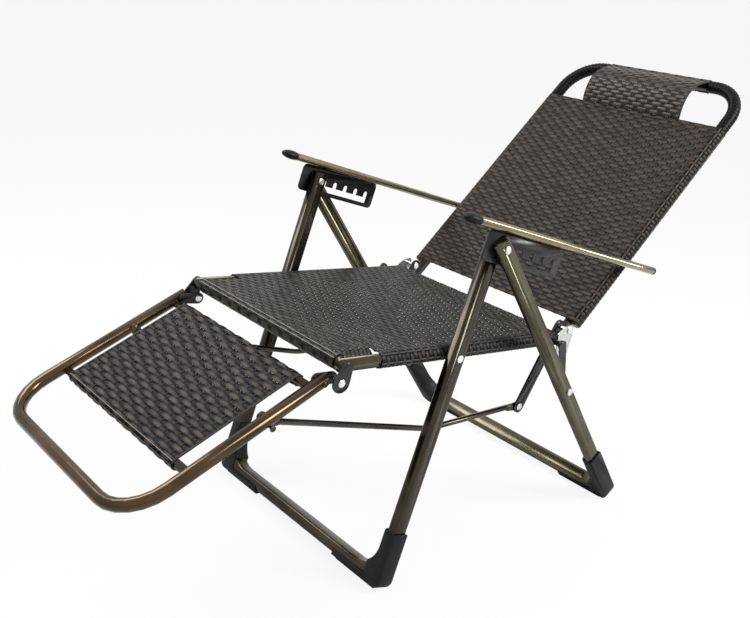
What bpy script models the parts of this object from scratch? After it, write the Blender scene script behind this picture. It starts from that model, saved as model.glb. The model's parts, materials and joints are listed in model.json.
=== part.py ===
"""Folding deck chair: bronze tube frames, woven panels, notched armrests and a footrest linked to the back.

Side views are drawn in the (y, z) plane: y points to the back and z up. x runs across the chair.
"""

import math
from types import SimpleNamespace

import bmesh
import bpy
from mathutils import Matrix, Vector

# Gaps
GAP = 0.0003
RUNNING_GAP = 0.0005

# Main pivot at the leg tops and the lean of the legs from the vertical, in degrees
PIVOT_HEIGHT = 0.672
FRONT_LEG_LEAN = 19.0
REAR_LEG_LEAN = 33.4
LEG_TOP_ABOVE_PIVOT = 0.019

# Leg tubes: width across the chair, depth square to it, corner rounding and the bend above the floor bar
FRONT_LEG_X = 0.2795
FRONT_LEG_WIDTH = 0.025
FRONT_LEG_DEPTH = 0.034
REAR_LEG_X = 0.308
REAR_LEG_WIDTH = 0.020
REAR_LEG_DEPTH = 0.035
LEG_ROUNDING = 0.008
LEG_BEND_RADIUS = 0.068
FLOOR_BAR_CLEARANCE = 0.004

# Corner shoes
SHOE_WALL = 0.003
FRONT_SHOE_HEIGHT = 0.117
REAR_SHOE_HEIGHT = 0.131
SHOE_ALONG_BAR = 0.135
SHOE_CORNER_RADIUS = 0.018
SHOE_ROUNDING = 0.006
SHOE_OPEN_FROM = 52
SOLE_WIDTH = 0.026

# Seat
SEAT_PIVOT_DOWN_LEG = 0.223
SEAT_SLOPE = -7.0
SEAT_FRONT_REACH = 0.260
SEAT_REAR_REACH = 0.357
SEAT_HEM_START = -0.170
RAIL_X = 0.250
RAIL_RADIUS = 0.0125
BAR_RADIUS = 0.0085
SEAT_REAR_BAR_AT = 0.292
RAIL_END_FROM_HINGE = 0.019
RAIL_BARE_END = 0.016

# Back
BACK_SLOPE = 41.4
BACK_LENGTH = 0.7346
BACK_HINGE_OFFSET = 0.018
BACK_TUBE_START = 0.024
BACK_TOP_CROSSBAR_AT = 0.601
BACK_LOWER_CROSSBAR_AT = 0.130
TUBE_BEND_RADIUS = 0.085

# Footrest
FOOTREST_SLOPE = 21.2
FOOTREST_HINGE_BELOW_SEAT = 0.028
FOOTREST_LINE_ABOVE_HINGE = 0.017
FOOTREST_LENGTH = 0.4344
FOOTREST_TUBE_START = 0.018
FOOTREST_FRONT_BAR_AT = 0.306
FOOTREST_REAR_BAR_AT = 0.048
FOOTREST_BAR_BELOW_LINE = 0.004
FOOTREST_WEAVE_HALF_WIDTH = 0.205

# Weave
WEAVE_THICKNESS = 0.004
HEM_WALL = 0.002
HEADREST_HALF_WIDTH = 0.145
HEADREST_BULGE = 0.028
HEADREST_THICKNESS = 0.0035

# Armrest, measured from the centre of its front knob
ARM_X = 0.290
ARM_WIDTH = 0.030
ARM_THICKNESS = 0.016
ARM_SLOPE = -18.9
ARM_ABOVE_PIVOT = 0.038
ARM_TIP_TO_PIVOT = 0.084
ARM_LENGTH = 0.596
ARM_TUBE_START = 0.010
ARM_CAP_THICKNESS = 0.005
KNOB_LENGTH = 0.050
KNOB_MARGIN = 0.002

# Notch plate under the armrest
PLATE_X = 0.295
PLATE_THICKNESS = 0.003
NOTCHES = 6
NOTCH_PITCH = 0.0322
NOTCH_WIDTH = 0.012
PLATE_FRONT = 0.046
PLATE_END_MARGIN = 0.026
CHANNEL_HEIGHT = 0.013
TOOTH_LENGTH = 0.009
PLATE_LOWER_BAR = 0.009
PLATE_ROUNDING = 0.010
TAB_LENGTH = 0.020
TAB_WIDTH = 0.010
TAB_THICKNESS = 0.0016

# Fold link from the rear leg to the seat
LINK_DOWN_REAR_LEG = 0.421
LINK_BEHIND_LEG_CENTRE = 0.005
LINK_SEAT_PIVOT_AT = 0.297
LINK_THICKNESS = 0.003
LINK_HALF_WIDTH = 0.010

# Lever below the back hinge, drive rod and its pivots
LEVER_LENGTH = 0.193
LEVER_ANGLE = 17.0
LEVER_WIDTH = 0.028
LEVER_THICKNESS = 0.004
LEVER_UP_BACK = 0.085
LEVER_NOTCH_ROOM = 0.0014
ROD_LUG_ALONG = 0.149
ROD_LUG_BELOW_LINE = 0.0131
ROD_RADIUS = 0.006
ROD_EYE_RADIUS = 0.010
ROD_EYE_LENGTH = 0.030
ROD_EYE_THICKNESS = 0.004
ROD_BEND_ALONG = 0.415
ROD_BEND_DROP = 0.040
ROD_BEND_LENGTH = 0.020
WELD_DEPTH = 0.001

# Lugs
LUG_THICKNESS = 0.003
DISC_RADIUS = 0.019
INNER_DISC_RADIUS = 0.012
LUG_END_RADIUS = 0.011
LUG_ROUNDING = 0.006
BRACKET_DROP = 0.052
BRACKET_REACH = 0.011

# Bolts and rivets
BOLT_RADIUS = 0.004
RIVET_RADIUS = 0.003
SCREW_RADIUS = 0.0016
HEAD_HEIGHT = 0.0028
HEAD_TOP_SHARE = 0.7
FLAT_HEAD = 0.001
WASHER_RADIUS = 0.010
SPACER_RADIUS = 0.006
COLLAR_THICKNESS = 0.003
SCREW_LENGTH = 0.008

# Facets
TUBE_RESOLUTION = 4
TUBE_SIDES = 12
HOLE_SIDES = 12
BOLT_SIDES = 10
SCREW_SIDES = 8
BEND_STEPS = 6
ROD_BEND_STEPS = 4
KNOB_SIDES = 16
KNOB_RINGS = 10
HEM_STEPS = 10
SMOOTH_ANGLE = math.radians(35)

# The chair's two sides and the sign of x on each
SIDES = (("left", 1), ("right", -1))

# Layers across the chair that follow from the sizes above
HEM_RADIUS = RAIL_RADIUS + HEM_WALL
BAR_HEM_RADIUS = BAR_RADIUS + HEM_WALL
OUTER_LUG_X = RAIL_X + RAIL_RADIUS + GAP + LUG_THICKNESS / 2
INNER_LUG_X = RAIL_X - RAIL_RADIUS - GAP - LUG_THICKNESS / 2
LEVER_X = RAIL_X - RAIL_RADIUS - RUNNING_GAP - LEVER_THICKNESS / 2
ROD_EYE_X = LEVER_X - LEVER_THICKNESS / 2 - GAP - ROD_EYE_THICKNESS / 2
ROD_X = ROD_EYE_X + ROD_EYE_THICKNESS / 2 - ROD_RADIUS
FRONT_LEG_OUTER = FRONT_LEG_X + FRONT_LEG_WIDTH / 2
FRONT_LEG_INNER = FRONT_LEG_X - FRONT_LEG_WIDTH / 2
REAR_LEG_OUTER = REAR_LEG_X + REAR_LEG_WIDTH / 2
PLATE_INNER = PLATE_X - PLATE_THICKNESS / 2
PLATE_OUTER = PLATE_X + PLATE_THICKNESS / 2
ARM_INNER = ARM_X - ARM_WIDTH / 2
ARM_OUTER = ARM_X + ARM_WIDTH / 2


def unit(degrees):
    """A unit vector of the side view, at an angle from y towards z."""
    angle = math.radians(degrees)
    return Vector((math.cos(angle), math.sin(angle)))


def left_of(direction):
    return Vector((-direction.y, direction.x))


def support(half_width, half_depth, rounding, lean):
    """How far a rounded rectangle reaches below its centre when it leans."""
    angle = math.radians(lean)
    flat = (half_width - rounding) * math.cos(angle) + (half_depth - rounding) * math.sin(angle)
    return flat + rounding


def side_points(pivot_y):
    """Every pivot and reference point of the side view, with the main pivot at the given y."""
    at = SimpleNamespace()
    at.pivot = Vector((pivot_y, PIVOT_HEIGHT))
    at.front_down = unit(-90 - FRONT_LEG_LEAN)
    at.rear_down = unit(-90 + REAR_LEG_LEAN)
    at.seat_along = unit(SEAT_SLOPE)
    at.seat_up = left_of(at.seat_along)
    at.back_along = unit(BACK_SLOPE)
    at.back_up = left_of(at.back_along)
    at.foot_along = unit(180 + FOOTREST_SLOPE)
    at.foot_up = -left_of(at.foot_along)
    at.arm_along = unit(ARM_SLOPE)
    at.arm_up = left_of(at.arm_along)

    at.seat = at.pivot + at.front_down * SEAT_PIVOT_DOWN_LEG
    at.crossing = at.seat + at.seat_along * SEAT_REAR_REACH
    opening = math.radians(BACK_SLOPE - SEAT_SLOPE)
    hinge_shift = BACK_HINGE_OFFSET * (math.cos(opening) - 1) / math.sin(opening)
    at.back_hinge = at.crossing + at.seat_up * BACK_HINGE_OFFSET + at.seat_along * hinge_shift
    at.back_start = at.back_hinge - at.back_up * BACK_HINGE_OFFSET
    at.back_offset = (at.back_start - at.crossing).dot(at.back_along)
    at.back_top = at.crossing + at.back_along * BACK_LENGTH
    at.seat_front = at.seat - at.seat_along * SEAT_FRONT_REACH
    at.foot_hinge = at.seat_front - at.seat_up * FOOTREST_HINGE_BELOW_SEAT
    at.foot_start = at.foot_hinge + at.foot_up * FOOTREST_LINE_ABOVE_HINGE
    at.foot_front = at.foot_start + at.foot_along * FOOTREST_LENGTH
    at.arm_tip = at.pivot + at.arm_up * ARM_ABOVE_PIVOT - at.arm_along * ARM_TIP_TO_PIVOT
    reach = at.back_start - at.arm_tip
    along_arm = (reach.x * at.back_along.y - reach.y * at.back_along.x) / (
        at.arm_along.x * at.back_along.y - at.arm_along.y * at.back_along.x
    )
    at.arm_pivot = at.arm_tip + at.arm_along * along_arm
    link_side = left_of(at.rear_down)
    at.link_leg = at.pivot + at.rear_down * LINK_DOWN_REAR_LEG + link_side * LINK_BEHIND_LEG_CENTRE
    at.link_seat = at.seat + at.seat_along * LINK_SEAT_PIVOT_AT
    at.lever_end = at.back_hinge + unit(180 + BACK_SLOPE + LEVER_ANGLE) * LEVER_LENGTH
    at.rod_lug_line = at.foot_start + at.foot_along * ROD_LUG_ALONG
    at.rod_lug = at.rod_lug_line - at.foot_up * ROD_LUG_BELOW_LINE
    rod_along = (at.lever_end - at.rod_lug).normalized()
    at.rod_bend = at.rod_lug + rod_along * ROD_BEND_ALONG - left_of(rod_along) * ROD_BEND_DROP
    return at


def centred_pivot_y():
    """The main pivot's y that puts the middle of the chair's length at y = 0."""
    trial = side_points(0.0)
    front = trial.foot_front.x - RAIL_RADIUS
    rear = trial.back_top.x + HEM_RADIUS
    return -(front + rear) / 2


AT = side_points(centred_pivot_y())

# Bodies that move as one, each with the point that its joint turns about
BODIES = {
    "front_legs": AT.pivot,
    "rear_legs": AT.pivot,
    "seat": AT.seat,
    "fold_links": AT.link_leg,
    "back": AT.back_hinge,
    "footrest": AT.foot_hinge,
    "drive_rods": AT.lever_end,
    "armrests": AT.arm_pivot,
}

# Paints and materials: base colour, roughness, metallic value
FINISHES = {
    "bronze_paint": ((0.115, 0.088, 0.055, 1.0), 0.32, 0.55),
    "rattan": ((0.060, 0.050, 0.042, 1.0), 0.50, 0.0),
    "black_paint": ((0.012, 0.012, 0.012, 1.0), 0.38, 0.3),
    "slate_plastic": ((0.045, 0.050, 0.056, 1.0), 0.45, 0.0),
    "zinc": ((0.62, 0.63, 0.62, 1.0), 0.35, 1.0),
    "steel": ((0.55, 0.55, 0.55, 1.0), 0.25, 1.0),
}


def clear_scene():
    for obj in list(bpy.data.objects):
        bpy.data.objects.remove(obj, do_unlink=True)


def collection(name):
    made = bpy.data.collections.new(name)
    bpy.context.scene.collection.children.link(made)
    return made


def material(name):
    """The named finish as a Principled material, made once."""
    found = bpy.data.materials.get(name)
    if found:
        return found
    colour, roughness, metallic = FINISHES[name]
    made = bpy.data.materials.new(name)
    made.use_nodes = True
    shader = made.node_tree.nodes["Principled BSDF"]
    shader.inputs["Base Color"].default_value = colour
    shader.inputs["Roughness"].default_value = roughness
    shader.inputs["Metallic"].default_value = metallic
    made.diffuse_color = colour
    return made


def body_empties(parts):
    """One empty on each body's joint axis."""
    empties = {}
    for name, point in BODIES.items():
        empty = bpy.data.objects.new(name + "_axis", None)
        empty.empty_display_size = 0.03
        empty.location = (0.0, point.x, point.y)
        parts.objects.link(empty)
        empties[name] = empty
    return empties


def across_frame():
    """Axes of a drawing in the side view: its x is y, its y is z and its thickness runs across."""
    return Matrix(((0, 0, 1), (1, 0, 0), (0, 1, 0)))


def along_frame(up):
    """Axes of a drawing that looks along a panel: x is the chair's x, y the given side-view direction."""
    return Matrix(((1, 0, 0), (0, up.x, -up.y), (0, up.y, up.x)))


class Workshop:
    """Makes the chair's objects in their collections and hangs each on its body's empty."""

    def __init__(self):
        self.parts = collection("rattan_deck_chair")
        self.cutters = collection("cutters")
        self.empties = body_empties(self.parts)

    def add(self, name, data, body, finish, centre=(0.0, 0.0, 0.0), frame=None):
        """Links an object whose data is drawn round the centre, in the axes of the frame."""
        obj = bpy.data.objects.new(name, data)
        if not data.materials:
            data.materials.append(material(finish))
        self.parts.objects.link(obj)
        empty = self.empties[body]
        obj.parent = empty
        obj.location = Vector(centre) - empty.location
        if frame:
            obj.rotation_euler = frame.to_euler()
        return obj

    def guide(self, name, data, centre=(0.0, 0.0, 0.0), frame=None):
        """A cutter or profile: it shapes parts and isn't one."""
        obj = bpy.data.objects.new(name, data)
        self.cutters.objects.link(obj)
        obj.location = centre
        if frame:
            obj.rotation_euler = frame.to_euler()
        obj.hide_render = True
        obj.display_type = "WIRE"
        return obj

    def as_mesh(self, obj):
        """Turns a curve object into a closed mesh object of the same name."""
        bpy.context.view_layer.update()
        evaluated = obj.evaluated_get(bpy.context.evaluated_depsgraph_get())
        mesh = bpy.data.meshes.new_from_object(evaluated)
        weld(mesh)
        name = obj.name
        made = bpy.data.objects.new(name + "_mesh", mesh)
        for group in obj.users_collection:
            group.objects.link(made)
        made.parent = obj.parent
        made.matrix_world = obj.matrix_world.copy()
        made.hide_render = obj.hide_render
        made.display_type = obj.display_type
        bpy.data.objects.remove(obj, do_unlink=True)
        made.name = name
        return made

    def boolean(self, obj, other, operation):
        step = obj.modifiers.new(operation.lower(), "BOOLEAN")
        step.operation = operation
        step.object = other
        step.solver = "EXACT"

    def bore(self, obj, spots, radius, x_from, x_to, signs=(1, -1)):
        """Cuts round holes that run across the chair, at each spot on both sides or one."""
        cutter = self.guide(obj.name + "_bores", rods_across(spots, radius, x_from, x_to, HOLE_SIDES, signs))
        self.boolean(obj, cutter, "DIFFERENCE")

    def flat(self, name, loops, thickness, body, finish, centre, frame):
        """A flat piece: its outline, then its holes, as closed loops of points."""
        curve = flat_curve(name, loops, thickness)
        return self.as_mesh(self.add(name, curve, body, finish, centre, frame))

    def side_plate(self, name, loops, x_centre, thickness, body, finish):
        """A flat piece that stands in the side view, its loops in (y, z)."""
        base = self.empties[body].location
        moved = [[(p[0] - base.y, p[1] - base.z) for p in loop] for loop in loops]
        return self.flat(name, moved, thickness, body, finish, (x_centre, base.y, base.z), across_frame())

    def tube(self, name, points, radius, body, finish):
        """A round tube or bar along points in space."""
        base = self.empties[body].location
        curve = tube_curve(name, [Vector(p) - base for p in points], radius)
        return self.as_mesh(self.add(name, curve, body, finish, base))

    def turned_pair(self, name, profile, spot, body, finish):
        """A turned piece on each side: profile of (radius, x) from the outer end to the inner one."""
        mesh = bpy.data.meshes.new(name)
        edges = [(i, i + 1) for i in range(len(profile) - 1)]
        mesh.from_pydata([(radius, 0.0, x) for radius, x in profile], edges, [])
        for side_name, side in SIDES:
            obj = self.add(name + "_" + side_name, mesh, body, finish, (0.0, spot.x, spot.y))
            obj.rotation_euler = (0.0, side * math.pi / 2, 0.0)
            screw = obj.modifiers.new("turn", "SCREW")
            screw.steps = BOLT_SIDES
            screw.render_steps = BOLT_SIDES
            screw.use_merge_vertices = True
            screw.merge_threshold = 0.00001


def weld(mesh):
    """Closes the caps of a mesh made from a curve and turns its faces outwards."""
    work = bmesh.new()
    work.from_mesh(mesh)
    bmesh.ops.remove_doubles(work, verts=work.verts, dist=0.00001)
    bmesh.ops.recalc_face_normals(work, faces=work.faces)
    work.to_mesh(mesh)
    work.free()
    mesh.shade_smooth()
    mesh.set_sharp_from_angle(angle=SMOOTH_ANGLE)


def flat_curve(name, loops, thickness, rounding=0.0):
    """A filled outline with thickness, its long edges rounded where a rounding is given."""
    curve = bpy.data.curves.new(name, "CURVE")
    curve.dimensions = "2D"
    curve.fill_mode = "BOTH"
    curve.extrude = thickness / 2 - rounding
    curve.bevel_depth = rounding
    curve.bevel_resolution = 1
    curve.offset = -rounding
    for loop in loops:
        add_spline(curve, [(p[0], p[1], 0.0) for p in loop], cyclic=True)
    return curve


def tube_curve(name, points, radius):
    curve = bpy.data.curves.new(name, "CURVE")
    curve.dimensions = "3D"
    curve.bevel_depth = radius
    curve.bevel_resolution = TUBE_RESOLUTION
    curve.use_fill_caps = True
    add_spline(curve, points, cyclic=False)
    return curve


def add_spline(curve, points, cyclic):
    spline = curve.splines.new("POLY")
    spline.points.add(len(points) - 1)
    for target, point in zip(spline.points, points):
        target.co = (point[0], point[1], point[2], 1.0)
    spline.use_cyclic_u = cyclic
    return spline


def rods_across(spots, radius, x_from, x_to, sides, signs=(1, -1)):
    """Round bars across the chair, at each spot of the side view, on both sides or one."""
    work = bmesh.new()
    turn = Matrix.Rotation(math.pi / 2, 4, "Y")
    for spot in spots:
        for side in signs:
            middle = Matrix.Translation((side * (x_from + x_to) / 2, spot.x, spot.y))
            bmesh.ops.create_cone(
                work,
                cap_ends=True,
                segments=sides,
                radius1=radius,
                radius2=radius,
                depth=x_to - x_from,
                matrix=middle @ turn,
            )
    mesh = bpy.data.meshes.new("rods_across")
    work.to_mesh(mesh)
    work.free()
    return mesh


def box_mesh(name, low, high):
    """A box between two corners."""
    work = bmesh.new()
    low, high = Vector(low), Vector(high)
    size = Matrix.Diagonal((high - low).to_4d())
    size[3][3] = 1.0
    bmesh.ops.create_cube(work, size=1.0, matrix=Matrix.Translation((low + high) / 2) @ size)
    mesh = bpy.data.meshes.new(name)
    work.to_mesh(mesh)
    work.free()
    return mesh


def snug(radius, sides=HOLE_SIDES):
    """The corner radius of a faceted hole that clears a round bar by the touching gap."""
    return (radius + GAP) / math.cos(math.pi / sides)


def arc(centre, radius, start, end, steps):
    """Points on an arc between two angles in degrees, both ends included."""
    points = []
    for i in range(steps + 1):
        points.append(Vector(centre) + unit(start + (end - start) * i / steps) * radius)
    return points


def circle(centre, radius, sides=HOLE_SIDES):
    return arc(centre, radius, 0, 360 - 360 / sides, sides - 1)


def angle_of(direction):
    return math.degrees(math.atan2(direction.y, direction.x))


def round_ended(first, first_radius, second, second_radius, steps=9):
    """The outline round two circles, joined by their tangents."""
    along = second - first
    spread = math.degrees(math.acos((first_radius - second_radius) / along.length))
    heading = angle_of(along)
    start = arc(first, first_radius, heading + spread, heading + 360 - spread, steps)
    end = arc(second, second_radius, heading - spread, heading + spread, steps)
    return start + end


def rounded(points, radius, steps=4):
    """A closed outline, drawn anticlockwise, with its outward corners rounded."""
    result = []
    count = len(points)
    for i in range(count):
        corner = Vector(points[i])
        before = (Vector(points[i - 1]) - corner).normalized()
        after = (Vector(points[(i + 1) % count]) - corner).normalized()
        half = before.angle(after) / 2
        centre = corner + (before + after).normalized() * radius / math.sin(half)
        start = angle_of(corner + before * radius / math.tan(half) - centre)
        end = angle_of(corner + after * radius / math.tan(half) - centre)
        turn = (end - start + 180) % 360 - 180
        result += arc(centre, radius, start, start + turn, steps)
    return result


def rounded_box(half_width, half_height, radius, steps=3):
    corners = [
        (half_width, -half_height),
        (half_width, half_height),
        (-half_width, half_height),
        (-half_width, -half_height),
    ]
    return rounded(corners, radius, steps)


def leg_path(leg_x, length, bend_radius, top):
    """Half of a leg frame, from its top to the floor bar: points of (x, height along the leg)."""
    bend = arc((leg_x - bend_radius, bend_radius - length), bend_radius, 0, -90, BEND_STEPS)
    return [Vector((leg_x, top))] + bend


def u_path(half_width, length, bend_radius, start):
    """A tube bent to a U: points of (x, distance along) from one rail's start round to the other's."""
    first = [Vector((half_width, start))]
    first += arc((half_width - bend_radius, length - bend_radius), bend_radius, 0, 90, BEND_STEPS)
    second = [Vector((-p.x, p.y)) for p in reversed(first)]
    return first + second


def in_space(path, origin, along):
    """Points of (x, distance along a line of the side view) as points in space."""
    return [Vector((p.x, origin.x + along.x * p.y, origin.y + along.y * p.y)) for p in path]


def swept(shop, name, path, profile, body, finish, centre, frame):
    """A profile carried along a path that lies in one plane. The profile's x stays in that plane."""
    outline = bpy.data.curves.new(name + "_profile", "CURVE")
    outline.dimensions = "2D"
    outline.fill_mode = "NONE"
    add_spline(outline, [(p.x, p.y, 0.0) for p in profile], cyclic=True)
    curve = bpy.data.curves.new(name, "CURVE")
    curve.dimensions = "2D"
    curve.fill_mode = "NONE"
    curve.bevel_mode = "OBJECT"
    curve.bevel_object = shop.guide(name + "_profile", outline)
    curve.use_fill_caps = True
    add_spline(curve, [(p.x, p.y, 0.0) for p in path], cyclic=False)
    if body:
        return shop.as_mesh(shop.add(name, curve, body, finish, centre, frame))
    return shop.as_mesh(shop.guide(name, curve, centre, frame))


def leg_layout(which):
    """Sizes of the front or the rear leg frame."""
    if which == "front":
        leg = SimpleNamespace(x=FRONT_LEG_X, width=FRONT_LEG_WIDTH, depth=FRONT_LEG_DEPTH)
        leg.lean, leg.down, leg.shoe_height = FRONT_LEG_LEAN, AT.front_down, FRONT_SHOE_HEIGHT
    else:
        leg = SimpleNamespace(x=REAR_LEG_X, width=REAR_LEG_WIDTH, depth=REAR_LEG_DEPTH)
        leg.lean, leg.down, leg.shoe_height = REAR_LEG_LEAN, AT.rear_down, REAR_SHOE_HEIGHT
    reach = support(leg.width / 2, leg.depth / 2, LEG_ROUNDING, leg.lean)
    leg.bar_height = FLOOR_BAR_CLEARANCE + reach
    leg.length = (PIVOT_HEIGHT - leg.bar_height) / math.cos(math.radians(leg.lean))
    leg.centre = (0.0, AT.pivot.x, AT.pivot.y)
    leg.frame = along_frame(-leg.down)
    leg.bar = AT.pivot + leg.down * leg.length
    leg.body = which + "_legs"
    return leg


def leg_profile(leg, margin=0.0):
    return rounded_box(leg.width / 2 + margin, leg.depth / 2 + margin, LEG_ROUNDING + margin)


def leg_frame(shop, which, bores):
    """One tube bent twice: two legs and the floor bar between them."""
    leg = leg_layout(which)
    half = leg_path(leg.x, leg.length, LEG_BEND_RADIUS, LEG_TOP_ABOVE_PIVOT)
    path = half + [Vector((-p.x, p.y)) for p in reversed(half)]
    name = which + "_leg_frame"
    obj = swept(shop, name, path, leg_profile(leg), leg.body, "bronze_paint", leg.centre, leg.frame)
    inner = leg.x - leg.width
    outer = leg.x + leg.width
    shop.bore(obj, bores, BOLT_RADIUS + RUNNING_GAP, inner, outer)


def shoe_outline(leg, top):
    """Outline of a shoe in its leg frame's plane: sleeve, square heel, trough under the floor bar."""
    wall = leg.width / 2 + GAP + SHOE_WALL
    outer, inner = leg.x + wall, leg.x - wall
    bottom = -leg.length - wall
    end = leg.x - SHOE_ALONG_BAR
    bend_centre = (leg.x - LEG_BEND_RADIUS, LEG_BEND_RADIUS - leg.length)
    inner_bend = arc(bend_centre, LEG_BEND_RADIUS - wall, -SHOE_OPEN_FROM, 0, BEND_STEPS)
    heel_centre = (outer - SHOE_CORNER_RADIUS, bottom + SHOE_CORNER_RADIUS)
    heel = arc(heel_centre, SHOE_CORNER_RADIUS, 0, -90, BEND_STEPS - 1)
    trough_edge = inner_bend[0].x
    points = [Vector((outer, top))] + heel
    points += [Vector((end, bottom)), Vector((end, -leg.length)), Vector((trough_edge, -leg.length))]
    points += inner_bend + [Vector((inner, top))]
    return list(reversed(points))


def shoe(shop, which, side_name, side):
    """Plastic corner shoe round the bend at the floor, with a flat sole."""
    leg = leg_layout(which)
    name = which + "_shoe_" + side_name
    top = (leg.shoe_height - leg.bar_height) / math.cos(math.radians(leg.lean)) - leg.length
    outline = [Vector((side * p.x, p.y)) for p in shoe_outline(leg, top)]
    depth = leg.depth + 2 * (GAP + SHOE_WALL)
    curve = flat_curve(name, [outline], depth, SHOE_ROUNDING)
    obj = shop.as_mesh(shop.add(name, curve, leg.body, "slate_plastic", leg.centre, leg.frame))

    xs = sorted((side * (leg.x - SHOE_ALONG_BAR + SHOE_ROUNDING), side * (leg.x - SHOE_ROUNDING)))
    low = (xs[0], leg.bar.x - SOLE_WIDTH / 2, 0.0)
    high = (xs[1], leg.bar.x + SOLE_WIDTH / 2, leg.bar_height)
    shop.boolean(obj, shop.guide(name + "_sole", box_mesh(name + "_sole", low, high)), "UNION")

    room = 2 * leg.depth
    low = (xs[0] - room, leg.bar.x - room, -room)
    below = box_mesh(name + "_floor", low, (xs[1] + room, leg.bar.x + room, 0.0))
    shop.boolean(obj, shop.guide(name + "_floor", below), "DIFFERENCE")

    half = leg_path(leg.x, leg.length, LEG_BEND_RADIUS, top + SHOE_WALL)
    half.append(Vector((leg.x - SHOE_ALONG_BAR - SHOE_WALL, -leg.length)))
    path = [Vector((side * p.x, p.y)) for p in half]
    bore = swept(shop, name + "_bore", path, leg_profile(leg, GAP), None, None, leg.centre, leg.frame)
    shop.boolean(obj, bore, "DIFFERENCE")


def seat_point(along, up=0.0):
    return AT.seat + AT.seat_along * along + AT.seat_up * up


def back_point(along, up=0.0):
    return AT.crossing + AT.back_along * along + AT.back_up * up


def foot_point(along, up=0.0):
    return AT.foot_start + AT.foot_along * along + AT.foot_up * up


def arm_point(along, up=0.0):
    return AT.arm_tip + AT.arm_along * along + AT.arm_up * up


def seat_rail_end():
    return SEAT_REAR_REACH + (AT.back_hinge - AT.crossing).dot(AT.seat_along) - RAIL_END_FROM_HINGE


def seat_hem_end():
    return seat_rail_end() - RAIL_BARE_END


def seat_rails(shop):
    for side_name, side in SIDES:
        x = side * RAIL_X
        ends = [seat_point(-SEAT_FRONT_REACH), seat_point(seat_rail_end())]
        points = [(x, p.x, p.y) for p in ends]
        rail = shop.tube("seat_rail_" + side_name, points, RAIL_RADIUS, "seat", "bronze_paint")
        spots = [AT.seat, AT.link_seat]
        shop.bore(rail, spots, BOLT_RADIUS + RUNNING_GAP, RAIL_X, RAIL_X + 2 * RAIL_RADIUS)


def cross_bar(shop, name, spot, radius, body):
    """A straight bar between the two rails."""
    end = RAIL_X - RAIL_RADIUS - GAP
    points = [(end, spot.x, spot.y), (-end, spot.x, spot.y)]
    return shop.tube(name, points, radius, body, "bronze_paint")


def seat_front_bar_at():
    return -SEAT_FRONT_REACH + RAIL_RADIUS


def side_hem_loops(bar_half_distance, outer, hole, thickness):
    """Section of a panel that is hemmed round two bars and lies flush with the tops of its hems."""
    under = math.degrees(math.asin((outer - thickness) / outer))
    right = arc((bar_half_distance, 0), outer, 180 - under - 360, 90, HEM_STEPS)
    left = [Vector((-p.x, p.y)) for p in reversed(right)]
    holes = [circle((side * bar_half_distance, 0), hole) for side in (1, -1)]
    return [right + left] + holes


def end_hem_loops(bar, towards, outer, hole, thickness):
    """Section of a panel's end that is hemmed round one bar and runs off to one side."""
    under = math.degrees(math.asin((outer - thickness) / outer))
    hem = arc(bar, outer, 90, 360 + under, HEM_STEPS)
    if towards < bar[0]:
        hem = [Vector((2 * bar[0] - p.x, p.y)) for p in reversed(hem)]
        tail = [Vector((towards, bar[1] + outer)), Vector((towards, bar[1] + outer - thickness))]
        return [hem + tail, circle(bar, hole)]
    tail = [Vector((towards, bar[1] + outer - thickness)), Vector((towards, bar[1] + outer))]
    return [hem + tail, circle(bar, hole)]


def side_hemmed(shop, name, body, origin, along, span):
    """The length of a woven panel that is hemmed round both rails."""
    up = left_of(along)
    middle = origin + along * (span[0] + span[1]) / 2
    loops = side_hem_loops(RAIL_X, HEM_RADIUS, snug(RAIL_RADIUS), WEAVE_THICKNESS)
    length = span[1] - span[0]
    centre = (0.0, middle.x, middle.y)
    return shop.flat(name, loops, length, body, "rattan", centre, along_frame(up))


def end_hem(shop, name, origin, along, loops):
    """The end of a woven panel, hemmed round a bar between the rails."""
    up = left_of(along)
    width = 2 * (RAIL_X - RAIL_RADIUS - GAP)
    frame = Matrix(((0, 0, 1), (along.x, up.x, 0), (along.y, up.y, 0)))
    return shop.as_mesh(shop.guide(name, flat_curve(name, loops, width), (0.0, origin.x, origin.y), frame))


def seat_weave(shop):
    span = (SEAT_HEM_START, seat_hem_end())
    weave = side_hemmed(shop, "seat_weave", "seat", AT.seat, AT.seat_along, span)
    bar = (seat_front_bar_at(), 0.0)
    loops = end_hem_loops(bar, SEAT_HEM_START + HEM_RADIUS, HEM_RADIUS, snug(RAIL_RADIUS), WEAVE_THICKNESS)
    shop.boolean(weave, end_hem(shop, "seat_front_hem", AT.seat, AT.seat_along, loops), "UNION")
    outside = RAIL_X + 2 * RAIL_RADIUS
    shop.bore(weave, [AT.seat, AT.link_seat], BOLT_RADIUS + RUNNING_GAP, RAIL_X, outside)
    bar_hole = snug(BAR_RADIUS)
    inside = RAIL_X - 2 * RAIL_RADIUS
    shop.bore(weave, [seat_point(SEAT_REAR_BAR_AT)], bar_hole, inside, RAIL_X)


def crossbar_lift():
    """How far the back's top crossbar lies above the rail line, so that its hem is flush with the panel."""
    return HEM_RADIUS - BAR_HEM_RADIUS


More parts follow.
